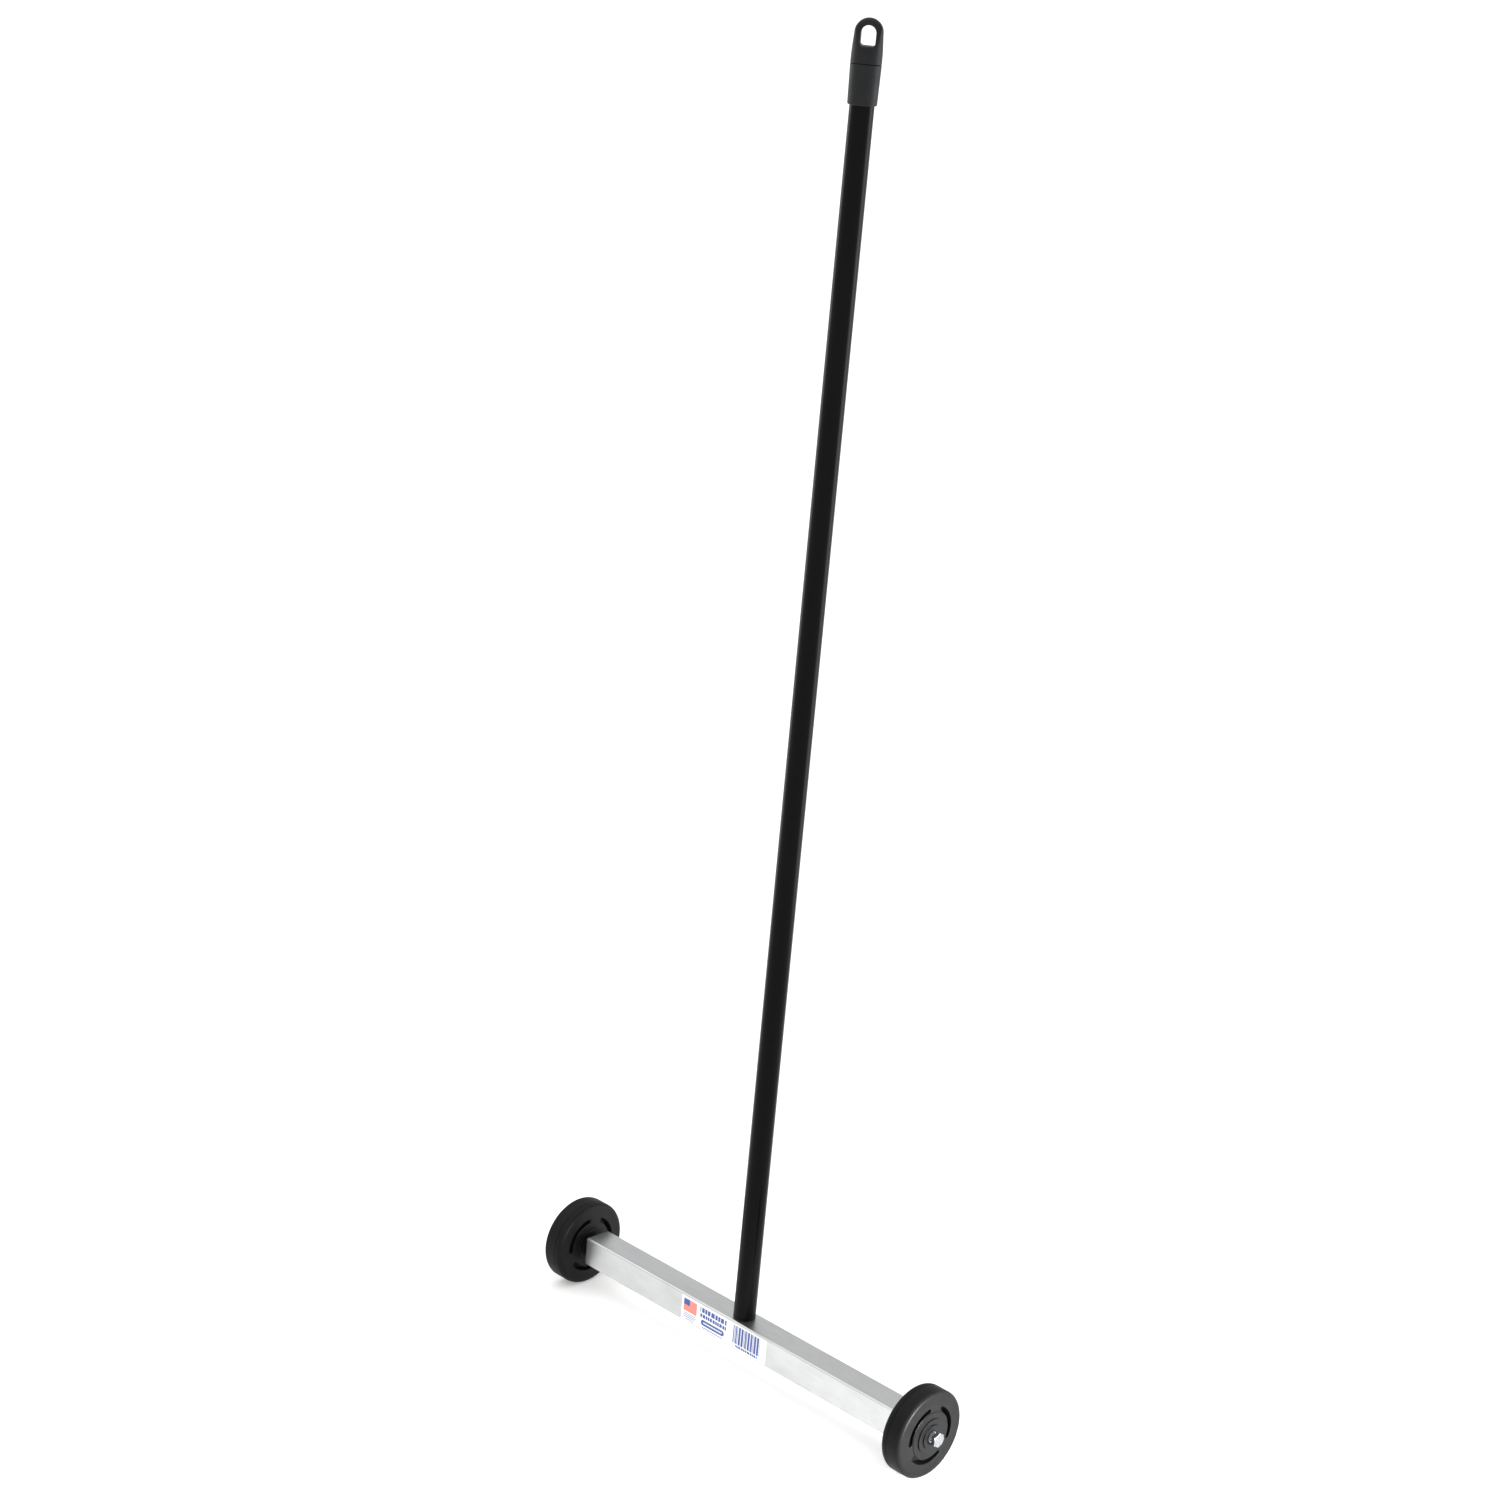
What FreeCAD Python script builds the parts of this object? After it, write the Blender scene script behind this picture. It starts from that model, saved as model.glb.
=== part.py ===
import FreeCAD, Part
import math
import os
import Sketcher
from FreeCAD import Placement, Rotation, Vector

# Magnetic floor sweeper: a square aluminium bar full of magnets runs on two small wheels and is pushed by
# a long pole that ends in a cap with a swivelling hang loop.
# Millimetres. X runs along the bar to the user's right, Y from the front of the bar to its back, Z up.
# The origin is on the floor, under the middle of the bar, and the pole stands on the Z axis.

MAGNET_COUNT = 7
SIDES = {"left": -1, "right": 1}

DRIVING_SIZES = [
    ("tube_length", 368.3, "bar, a 14 1/2 in length of square aluminium tube"),
    ("tube_side", 25.4, "bar, outside width and height"),
    ("tube_wall", 1.6, "bar, wall"),
    ("tube_corner", 1.5, "bar, radius of the outside corners"),
    ("plug_length", 25.0, "end plug, how far it reaches into the bar"),
    ("backing_thickness", 3.0, "steel bar on top of the magnets"),
    ("magnet_side_gap", 0.6, "magnets and backing bar, gap to each side wall"),
    ("magnet_end_gap", 0.3, "gap between neighbours in the magnet row"),
    ("slip_gap", 0.05, "gap all round a piece pushed or glued into another"),
    ("thread_gap", 0.02, "gap between a bolt and the thread it is screwed into"),
    ("axle_radius", 3.175, "axle bolt, 1/4 in"),
    ("axle_length", 50.8, "axle bolt, under its head"),
    ("axle_head_flats", 11.11, "axle bolt and jam nut, across flats"),
    ("axle_head_height", 4.0, "axle bolt, head"),
    ("jam_nut_height", 4.0, "jam nut"),
    ("axle_washer_radius", 7.9, "thrust washer, outside"),
    ("axle_washer_thickness", 1.2, "thrust washer"),
    ("axle_washer_gap", 0.3, "thrust washer, radial gap to the bolt"),
    ("hub_play", 0.4, "between thrust washer and wheel bush"),
    ("head_play", 2.6, "between wheel bush and bolt head"),
    ("bush_wall", 1.5, "wheel bush, wall"),
    ("bush_running_gap", 0.08, "wheel bush, radial gap to the bolt"),
    ("bush_proud", 0.2, "wheel bush, how far each end stands out of the hub"),
    ("wheel_radius", 37.5, "wheel, over the tread"),
    ("wheel_width", 20.0, "wheel, over the tread"),
    ("wheel_inner_round", 4.1, "wheel, tread edge next to the bar"),
    ("wheel_outer_round", 3.3, "wheel, outside tread edge"),
    ("seam_place", 6.0, "mould seam on the tread, from the wheel's inner side"),
    ("seam_width", 0.6, "mould seam"),
    ("seam_depth", 0.4, "mould seam"),
    ("disc_radius", 20.4, "raised disc inside the ring of slots"),
    ("disc_height", 0.6, "raised disc, above the outside face"),
    ("slot_land", 0.5, "flat between the raised disc and the slots"),
    ("slot_width", 4.2, "arc slot, along a radius"),
    ("slot_depth", 8.0, "arc slot, from the wheel's face"),
    ("slot_angle", 91.0, "arc slot, how far round the wheel it runs"),
    ("slot_end_round", 1.76, "arc slot, corners of its ends"),
    ("slot_heading", -99.0, "middle of one slot of both wheels at rest, degrees up from straight back"),
    ("large_step_radius", 15.0, "hub, lower step"),
    ("small_step_radius", 10.4, "hub, upper step"),
    ("outer_step_height", 1.2, "hub, each outside step"),
    ("inner_step_height", 1.1, "hub, each step next to the bar"),
    ("pole_radius", 9.525, "pole, 3/4 in steel tube"),
    ("pole_wall", 1.2, "pole, wall"),
    ("pole_length", 1032.0, "pole"),
    ("pole_foot_round", 0.8, "pole, rolled edge at its foot"),
    ("insert_length", 30.0, "threaded plug in the pole's foot"),
    ("pole_bolt_radius", 3.969, "pole bolt, 5/16 in"),
    ("pole_bolt_length", 25.4, "pole bolt, under its head"),
    ("pole_bolt_flats", 12.7, "pole bolt, across flats"),
    ("pole_bolt_head", 5.3, "pole bolt, head height"),
    ("pole_bolt_head_gap", 0.8, "between the pole bolt's head and the backing bar"),
    ("pole_bolt_hole_gap", 0.4, "clearance hole in the bar, radial gap to the pole bolt"),
    ("pole_washer_radius", 9.0, "washer under the bar's top wall"),
    ("pole_washer_thickness", 1.6, "washer under the bar's top wall"),
    ("sleeve_length", 27.0, "cap sleeve, how far it covers the pole"),
    ("sleeve_web", 3.0, "cap sleeve, floor that closes the pole"),
    ("sleeve_wall_low", 1.65, "cap sleeve, wall at its lower rim"),
    ("sleeve_wall_high", 2.3, "cap sleeve, wall at the seam"),
    ("sleeve_rim_round", 1.2, "cap sleeve, rounded lower rim"),
    ("seam_gap", 0.3, "between cap sleeve and hang loop"),
    ("loop_height", 33.2, "hang loop, above the seam"),
    ("loop_arch_radius", 10.8, "hang loop, arch seen from the front"),
    ("loop_shoulder", 8.0, "hang loop, height where its front and back start to lean in"),
    ("loop_top_thickness", 7.0, "hang loop, between its leaning faces a tenth of its height above its top"),
    ("loop_hole_radius", 5.7, "hang loop, half the width of the hole"),
    ("loop_crown", 5.3, "hang loop, bar above the hole"),
    ("loop_hole_height", 15.2, "hang loop, height of the hole"),
    ("loop_hole_corner", 2.4, "hang loop, lower corners of the hole"),
    ("loop_angle", 40.0, "hang loop, how far it is turned from facing front"),
    ("peg_radius", 4.0, "hang loop, peg that turns in the sleeve"),
    ("peg_running_gap", 0.1, "peg, radial gap in the sleeve"),
    ("peg_lip", 1.4, "snap lip on the peg, how far it stands out"),
    ("peg_lip_height", 4.0, "snap lip on the peg"),
    ("peg_lip_play", 0.3, "between snap lip and sleeve"),
    ("label_length", 101.6, "label, along the bar"),
    ("label_thickness", 0.12, "label"),
    ("label_offset", -11.0, "label, its middle from the middle of the bar"),
]

# Sizes worked out from the sheet, as formulas that the document itself evaluates.
TUBE_INSIDE = "(dims.tube_side - 2 * dims.tube_wall)"
AXLE_Z = "dims.wheel_radius"
TUBE_TOP = f"({AXLE_Z} + dims.tube_side / 2)"
TUBE_FLOOR = f"({AXLE_Z} - {TUBE_INSIDE} / 2)"
TUBE_CEILING = f"({AXLE_Z} + {TUBE_INSIDE} / 2)"
MAGNET_ROOM = "(dims.tube_length - 2 * dims.plug_length)"
MAGNET_PITCH = f"(({MAGNET_ROOM} - dims.magnet_end_gap) / {MAGNET_COUNT})"
MAGNET_LENGTH = f"({MAGNET_PITCH} - dims.magnet_end_gap)"
MAGNET_WIDTH = f"({TUBE_INSIDE} - 2 * dims.magnet_side_gap)"
HEAD_STACK = "(dims.pole_washer_thickness + dims.pole_bolt_head + dims.pole_bolt_head_gap)"
MAGNET_HEIGHT = f"({TUBE_INSIDE} - {HEAD_STACK} - dims.backing_thickness)"
WASHER_OUT = "(dims.jam_nut_height + dims.axle_washer_thickness)"
BUSH_IN = f"({WASHER_OUT} + dims.hub_play)"
INNER_HUB = "(2 * dims.inner_step_height)"
OUTER_HUB = "(dims.disc_height + 2 * dims.outer_step_height)"
WHEEL_IN = f"({BUSH_IN} + dims.bush_proud + {INNER_HUB})"
HUB_LENGTH = f"({INNER_HUB} + dims.wheel_width + {OUTER_HUB})"
BUSH_LENGTH = f"({HUB_LENGTH} + 2 * dims.bush_proud)"
BUSH_BORE = "(dims.axle_radius + dims.bush_running_gap)"
BUSH_RADIUS = f"({BUSH_BORE} + dims.bush_wall)"
HEAD_IN = f"({BUSH_IN} + {BUSH_LENGTH} + dims.head_play)"
POLE_BORE = "(dims.pole_radius - dims.pole_wall)"
SLEEVE_BORE = "(dims.pole_radius + dims.slip_gap)"
SLEEVE_LOW = f"({SLEEVE_BORE} + dims.sleeve_wall_low)"
SLEEVE_HIGH = f"({SLEEVE_BORE} + dims.sleeve_wall_high)"
SLEEVE_TOP = "(dims.sleeve_length + dims.slip_gap + dims.sleeve_web)"
SLEEVE_Z = f"({TUBE_TOP} + dims.pole_length - dims.sleeve_length)"
LOOP_Z = f"({SLEEVE_Z} + {SLEEVE_TOP} + dims.seam_gap)"
LOOP_HOLE_TOP = "(dims.loop_height - dims.loop_crown)"
PEG_NECK = "(dims.seam_gap + dims.sleeve_web + dims.peg_lip_play)"

doc = FreeCAD.newDocument("magnetic_sweeper")
dims = doc.addObject("Spreadsheet::Sheet", "dims")
parts = []


def write_sizes():
    """Put each driving size in the sheet: name, value and what it measures."""
    for row, (name, value, meaning) in enumerate(DRIVING_SIZES, start=1):
        dims.set(f"A{row}", name)
        dims.set(f"B{row}", str(value))
        dims.set(f"C{row}", meaning)
        dims.setAlias(f"B{row}", name)
    doc.recompute()


def finish(shape_object, label):
    """Name a finished sub-part and put it in the list of parts that are written out."""
    shape_object.Label = label
    parts.append(shape_object)
    return shape_object


def place(shape_object, x="0", y="0", z="0", rotation=None):
    """Move a sub-part to formulas for its position, turned by a fixed rotation."""
    if rotation is not None:
        shape_object.Placement = Placement(Vector(0, 0, 0), rotation)
    for axis, formula in zip("xyz", (x, y, z)):
        shape_object.setExpression(f"Placement.Base.{axis}", formula)


def place_on_axle(shape_object, side, out):
    """Lay a piece made along Z on a wheel's axle, its own zero a distance out from the bar's end."""
    turn = Rotation(Vector(0, 1, 0), 90 * SIDES[side])
    place(shape_object, x=f"{SIDES[side]} * (dims.tube_length / 2 + {out})", z=AXLE_Z, rotation=turn)


def new_body(name):
    """Start a PartDesign body."""
    return doc.addObject("PartDesign::Body", name)


def origin_plane(body, role):
    """Find one of a body's own origin planes."""
    return next(item for item in body.Origin.OriginFeatures if item.Role == role)


def new_sketch(body, name, role):
    """Start a sketch on one of the body's origin planes."""
    sketch = body.newObject("Sketcher::SketchObject", name)
    sketch.AttachmentSupport = [(origin_plane(body, role), "")]
    sketch.MapMode = "FlatFace"
    return sketch


def evaluate(formula):
    """Let the document work a formula out to the number that it has now."""
    result = dims.evalExpression(formula)
    return float(getattr(result, "Value", result))


def pin_point(sketch, curve, end, across, up):
    """Tie one end of a sketch curve to formulas for its distance from the sketch's origin."""
    for kind, formula in (("DistanceX", across), ("DistanceY", up)):
        index = sketch.addConstraint(Sketcher.Constraint(kind, -1, 1, curve, end, evaluate(formula)))
        sketch.setExpression(f"Constraints[{index}]", formula)


def add_outline(sketch, corners):
    """Draw a closed outline of straight lines whose corners are pairs of formulas."""
    points = [Vector(evaluate(across), evaluate(up), 0) for across, up in corners]
    first = sketch.GeometryCount
    count = len(corners)
    for number in range(count):
        sketch.addGeometry(Part.LineSegment(points[number], points[(number + 1) % count]), False)
    for number in range(count):
        after = (number + 1) % count
        sketch.addConstraint(Sketcher.Constraint("Coincident", first + number, 2, first + after, 1))
    for number, (across, up) in enumerate(corners):
        pin_point(sketch, first + number, 1, across, up)


def add_rectangle(sketch, left, right, low, high):
    """Draw a rectangle between four formulas."""
    add_outline(sketch, [(left, low), (right, low), (right, high), (left, high)])


def add_circle(sketch, radius):
    """Draw a circle about the sketch's origin."""
    circle = sketch.addGeometry(Part.Circle(Vector(0, 0, 0), Vector(0, 0, 1), evaluate(radius)), False)
    sketch.addConstraint(Sketcher.Constraint("Coincident", circle, 3, -1, 1))
    index = sketch.addConstraint(Sketcher.Constraint("Radius", circle, evaluate(radius)))
    sketch.setExpression(f"Constraints[{index}]", radius)


def add_arch(sketch, foot_half_width, foot_height, arch_radius, centre_height):
    """Draw a flat-footed arch: a foot line, two sides and a round top that the sides run into."""
    half, low = evaluate(foot_half_width), evaluate(foot_height)
    radius, centre = evaluate(arch_radius), evaluate(centre_height)
    middle = Vector(0, centre, 0)
    circle = Part.Circle(middle, Vector(0, 0, 1), radius)
    foot = sketch.addGeometry(Part.LineSegment(Vector(-half, low, 0), Vector(half, low, 0)), False)
    right = sketch.addGeometry(Part.LineSegment(Vector(half, low, 0), Vector(radius, centre, 0)), False)
    arch = sketch.addGeometry(Part.ArcOfCircle(circle, 0, math.pi), False)
    left = sketch.addGeometry(Part.LineSegment(Vector(-radius, centre, 0), Vector(-half, low, 0)), False)
    sketch.addConstraint(Sketcher.Constraint("Coincident", foot, 2, right, 1))
    sketch.addConstraint(Sketcher.Constraint("Coincident", left, 2, foot, 1))
    sketch.addConstraint(Sketcher.Constraint("Tangent", right, 2, arch, 1))
    sketch.addConstraint(Sketcher.Constraint("Tangent", arch, 2, left, 1))
    pin_point(sketch, foot, 1, f"-{foot_half_width}", foot_height)
    pin_point(sketch, foot, 2, foot_half_width, foot_height)
    sketch.addConstraint(Sketcher.Constraint("PointOnObject", arch, 3, -2))
    index = sketch.addConstraint(Sketcher.Constraint("DistanceY", -1, 1, arch, 3, centre))
    sketch.setExpression(f"Constraints[{index}]", centre_height)
    index = sketch.addConstraint(Sketcher.Constraint("Radius", arch, radius))
    sketch.setExpression(f"Constraints[{index}]", arch_radius)


def revolve(body, name, corners):
    """Turn a closed outline, drawn as (radius, height) formulas, about the body's Z axis."""
    sketch = new_sketch(body, f"{name}_outline", "XZ_Plane")
    add_outline(sketch, corners)
    turned = body.newObject("PartDesign::Revolution", name)
    turned.Profile = sketch
    turned.ReferenceAxis = (sketch, ["V_Axis"])
    turned.Angle = 360
    doc.recompute()
    return turned


def pad(body, name, sketch, length):
    """Pad a sketch equally to both sides."""
    block = body.newObject("PartDesign::Pad", name)
    block.Profile = sketch
    block.Midplane = True
    block.setExpression("Length", length)
    doc.recompute()
    return block


def round_edges(body, name, base, radius, wanted):
    """Round the edges of a feature that a test picks out."""
    chosen = [f"Edge{number}" for number, edge in enumerate(base.Shape.Edges, start=1) if wanted(edge)]
    fillet = body.newObject("PartDesign::Fillet", name)
    fillet.Base = (base, chosen)
    fillet.setExpression("Radius", radius)
    doc.recompute()
    return fillet


def is_ring(edge, radius, height):
    """True for a full circle about Z with this radius and height."""
    if not isinstance(edge.Curve, Part.Circle) or len(edge.Vertexes) != 1:
        return False
    return abs(edge.Curve.Radius - radius) < 1e-4 and abs(edge.Curve.Center.z - height) < 1e-4


def cylinder(name, radius, height, start="0"):
    """Cylinder along Z from a start height."""
    solid = doc.addObject("Part::Cylinder", name)
    solid.setExpression("Radius", radius)
    solid.setExpression("Height", height)
    solid.setExpression("Placement.Base.z", start)
    return solid


def hexagon(name, across_flats, height, start="0"):
    """Six-sided prism along Z, sized across its flats."""
    solid = doc.addObject("Part::Prism", name)
    solid.Polygon = 6
    solid.setExpression("Circumradius", f"{across_flats} / 2 / cos(30 deg)")
    solid.setExpression("Height", height)
    solid.setExpression("Placement.Base.z", start)
    return solid


def box(name, length, width, height):
    """Block with its corner at its own zero."""
    solid = doc.addObject("Part::Box", name)
    solid.setExpression("Length", length)
    solid.setExpression("Width", width)
    solid.setExpression("Height", height)
    return solid


def joined(kind, name, base, tool):
    """Boolean of two solids: kind is Cut, Fuse or Common."""
    result = doc.addObject(f"Part::{kind}", name)
    result.Base = base
    result.Tool = tool
    return result


def ring(name, outer, inner, height):
    """Flat-ended tube along Z, such as a washer or a bush."""
    return joined("Cut", name, cylinder(f"{name}_outside", outer, height),
                  cylinder(f"{name}_bore", inner, height))


def make_housing_tube():
    """Square tube with rounded outside corners and a clearance hole for the pole bolt in its top wall."""
    body = new_body("housing_tube")
    section = new_sketch(body, "tube_section", "YZ_Plane")
    for side in ("dims.tube_side", TUBE_INSIDE):
        add_rectangle(section, f"-{side} / 2", f"{side} / 2", f"-{side} / 2", f"{side} / 2")
    tube = pad(body, "tube_length_pad", section, "dims.tube_length")
    half = evaluate("dims.tube_side") / 2

    def is_outside_corner(edge):
        middle = edge.CenterOfMass
        along = abs(edge.Vertexes[0].X - edge.Vertexes[1].X) > half
        return along and abs(abs(middle.y) - half) < 1e-4 and abs(abs(middle.z) - half) < 1e-4

    rounded = round_edges(body, "tube_corners", tube, "dims.tube_corner", is_outside_corner)
    hole = new_sketch(body, "pole_bolt_hole", "XY_Plane")
    add_circle(hole, "dims.pole_bolt_radius + dims.pole_bolt_hole_gap")
    drilled = body.newObject("PartDesign::Pocket", "pole_bolt_drilling")
    drilled.Profile = hole
    drilled.Reversed = True
    drilled.setExpression("Length", "dims.tube_side")
    doc.recompute()
    removed = rounded.Shape.Volume - drilled.Shape.Volume
    expected = math.pi * evaluate("dims.pole_bolt_radius + dims.pole_bolt_hole_gap") ** 2
    expected *= evaluate("dims.tube_wall")
    if abs(removed - expected) > 0.01 * expected:
        raise RuntimeError(f"pole bolt hole removed {removed:.1f}, not {expected:.1f}")
    place(body, z=AXLE_Z)
    finish(body, "housing_tube")


def make_end_plug(side):
    """Block that fills the bar's end and holds the axle bolt."""
    name = f"end_plug_{side}"
    across = f"({TUBE_INSIDE} - 2 * dims.slip_gap)"
    block = box(f"{name}_block", across, across, "dims.plug_length")
    block.setExpression("Placement.Base.x", f"-{across} / 2")
    block.setExpression("Placement.Base.y", f"-{across} / 2")
    block.setExpression("Placement.Base.z", "-dims.plug_length")
    thread = cylinder(f"{name}_thread", "dims.axle_radius + dims.thread_gap", "dims.plug_length",
                      "-dims.plug_length")
    plug = joined("Cut", name, block, thread)
    place_on_axle(plug, side, "0")
    finish(plug, name)


def make_backing_bar():
    """Flat steel bar that lies on the whole row of magnets."""
    length = f"({MAGNET_ROOM} - 2 * dims.magnet_end_gap)"
    bar = box("backing_bar", length, MAGNET_WIDTH, "dims.backing_thickness")
    place(bar, x=f"-{length} / 2", y=f"-{MAGNET_WIDTH} / 2", z=f"{TUBE_FLOOR} + {MAGNET_HEIGHT}")
    finish(bar, "backing_bar")


def make_magnet(number):
    """One ceramic block of the row, counted from the left."""
    start = f"-{MAGNET_ROOM} / 2 + dims.magnet_end_gap + {number - 1} * {MAGNET_PITCH}"
    magnet = box(f"magnet_{number}", MAGNET_LENGTH, MAGNET_WIDTH, MAGNET_HEIGHT)
    place(magnet, x=start, y=f"-{MAGNET_WIDTH} / 2", z=TUBE_FLOOR)
    finish(magnet, f"magnet_{number}")


def make_pole_bolt():
    """Hex bolt whose head is caught inside the bar and whose shank points up into the pole's foot."""
    head = hexagon("pole_bolt_head_block", "dims.pole_bolt_flats", "dims.pole_bolt_head",
                   "-dims.pole_bolt_head")
    shank = cylinder("pole_bolt_shank", "dims.pole_bolt_radius", "dims.pole_bolt_length")
    bolt = joined("Fuse", "pole_bolt", head, shank)
    place(bolt, z=f"{TUBE_CEILING} - dims.pole_washer_thickness")
    finish(bolt, "pole_bolt")
    washer = ring("pole_bolt_washer", "dims.pole_washer_radius",
                  "dims.pole_bolt_radius + dims.pole_bolt_hole_gap", "dims.pole_washer_thickness")
    place(washer, z=f"{TUBE_CEILING} - dims.pole_washer_thickness")
    finish(washer, "pole_bolt_washer")


def make_pole():
    """Round steel tube standing on the bar, with the threaded plug in its foot."""
    body = new_body("pole_tube")
    revolved = revolve(body, "pole_turned", [
        (POLE_BORE, "0"), ("dims.pole_radius", "0"),
        ("dims.pole_radius", "dims.pole_length"), (POLE_BORE, "dims.pole_length")])
    radius = evaluate("dims.pole_radius")
    round_edges(body, "pole_foot", revolved, "dims.pole_foot_round", lambda edge: is_ring(edge, radius, 0))
    place(body, z=TUBE_TOP)
    finish(body, "pole_tube")
    insert = ring("pole_insert", f"{POLE_BORE} - dims.slip_gap", "dims.pole_bolt_radius + dims.thread_gap",
                  "dims.insert_length")
    place(insert, z=TUBE_TOP)
    finish(insert, "pole_insert")


def make_cap_sleeve():
    """Sleeve over the pole's top, closed by a floor that the hang loop's peg turns in."""
    body = new_body("cap_sleeve")
    web_low = "(dims.sleeve_length + dims.slip_gap)"
    peg_hole = "(dims.peg_radius + dims.peg_running_gap)"
    turned = revolve(body, "sleeve_turned", [
        (SLEEVE_BORE, "0"), (SLEEVE_LOW, "0"), (SLEEVE_HIGH, SLEEVE_TOP),
        (peg_hole, SLEEVE_TOP), (peg_hole, web_low), (SLEEVE_BORE, web_low)])
    radius = evaluate(SLEEVE_LOW)
    round_edges(body, "sleeve_rim", turned, "dims.sleeve_rim_round", lambda edge: is_ring(edge, radius, 0))
    place(body, z=SLEEVE_Z)
    finish(body, "cap_sleeve")


def loop_outline():
    """Loop as seen from its front: round-topped, a little wider at the seam."""
    body = new_body("loop_front_shape")
    front = new_sketch(body, "loop_front", "XZ_Plane")
    centre = "(dims.loop_height - dims.loop_arch_radius)"
    add_arch(front, SLEEVE_HIGH, "0", "dims.loop_arch_radius", centre)
    pad(body, "loop_front_pad", front, f"2 * {SLEEVE_HIGH}")
    return body


def loop_side():
    """Loop as seen from its side: straight up to the shoulder, then leaning in to its thin top."""
    body = new_body("loop_side_shape")
    side = new_sketch(body, "loop_side", "YZ_Plane")
    top = "dims.loop_top_thickness / 2"
    above = "(1.1 * dims.loop_height)"
    add_outline(side, [
        (f"-{SLEEVE_HIGH}", "0"), (SLEEVE_HIGH, "0"), (SLEEVE_HIGH, "dims.loop_shoulder"),
        (top, above), (f"-{top}", above),
        (f"-{SLEEVE_HIGH}", "dims.loop_shoulder")])
    pad(body, "loop_side_pad", side, f"2 * {SLEEVE_HIGH}")
    return body


def loop_hole():
    """Arch-topped hole through the loop, with rounded lower corners."""
    body = new_body("loop_hole_shape")
    outline = new_sketch(body, "hole_outline", "XZ_Plane")
    low = f"({LOOP_HOLE_TOP} - dims.loop_hole_height)"
    add_arch(outline, "dims.loop_hole_radius", low, "dims.loop_hole_radius",
             f"({LOOP_HOLE_TOP} - dims.loop_hole_radius)")
    block = pad(body, "hole_pad", outline, f"3 * {SLEEVE_HIGH}")
    height = evaluate(low)

    def is_lower_corner(edge):
        along = abs(edge.Vertexes[0].Y - edge.Vertexes[-1].Y) > 1
        return along and abs(edge.CenterOfMass.z - height) < 1e-4

    round_edges(body, "hole_corners", block, "dims.loop_hole_corner", is_lower_corner)
    return body


def make_hang_loop():
    """Loop that turns on the sleeve: flattened round block with a hole and a snap peg under it."""
    round_blank = cylinder("loop_round_blank", SLEEVE_HIGH, "dims.loop_height")
    flattened = joined("Common", "loop_flattened", loop_outline(), loop_side())
    block = joined("Common", "loop_block", flattened, round_blank)
    pierced = joined("Cut", "loop_pierced", block, loop_hole())
    peg = new_body("loop_peg")
    lip_top = f"-{PEG_NECK}"
    lip_low = f"(-{PEG_NECK} - dims.peg_lip_height)"
    lip_radius = "(dims.peg_radius + dims.peg_lip)"
    revolve(peg, "peg_turned", [
        ("0", "0"), ("0", lip_low), ("dims.peg_radius", lip_low), (lip_radius, lip_top),
        ("dims.peg_radius", lip_top), ("dims.peg_radius", "0")])
    loop = joined("Fuse", "hang_loop", pierced, peg)
    place(loop, z=LOOP_Z, rotation=Rotation(Vector(0, 0, 1), evaluate("dims.loop_angle")))
    finish(loop, "hang_loop")


def make_label():
    """Paper label that covers the flat of the bar's front face."""
    height = "(dims.tube_side - 2 * dims.tube_corner)"
    label = box("product_label", "dims.label_length", "dims.label_thickness", height)
    place(label, x="dims.label_offset - dims.label_length / 2",
          y="-dims.tube_side / 2 - dims.label_thickness", z=f"{AXLE_Z} - {height} / 2")
    finish(label, "product_label")


def make_axle(side):
    """Bolt, jam nut and thrust washer that carry one wheel."""
    head = hexagon(f"axle_head_{side}", "dims.axle_head_flats", "dims.axle_head_height")
    shank = cylinder(f"axle_shank_{side}", "dims.axle_radius", "dims.axle_length", "-dims.axle_length")
    bolt = joined("Fuse", f"axle_bolt_{side}", head, shank)
    place_on_axle(bolt, side, HEAD_IN)
    finish(bolt, f"axle_bolt_{side}")
    nut_block = hexagon(f"jam_nut_block_{side}", "dims.axle_head_flats", "dims.jam_nut_height")
    nut_thread = cylinder(f"jam_nut_thread_{side}", "dims.axle_radius + dims.thread_gap",
                          "dims.jam_nut_height")
    nut = joined("Cut", f"axle_jam_nut_{side}", nut_block, nut_thread)
    place_on_axle(nut, side, "0")
    finish(nut, f"axle_jam_nut_{side}")
    washer = ring(f"thrust_washer_{side}", "dims.axle_washer_radius",
                  "dims.axle_radius + dims.axle_washer_gap", "dims.axle_washer_thickness")
    place_on_axle(washer, side, "dims.jam_nut_height")
    finish(washer, f"thrust_washer_{side}")


def make_wheel_bush(side):
    """Steel bush pressed into the hub, a little longer than it."""
    bush = ring(f"wheel_bushing_{side}", BUSH_RADIUS, BUSH_BORE, BUSH_LENGTH)
    place_on_axle(bush, side, BUSH_IN)
    finish(bush, f"wheel_bushing_{side}")


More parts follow.
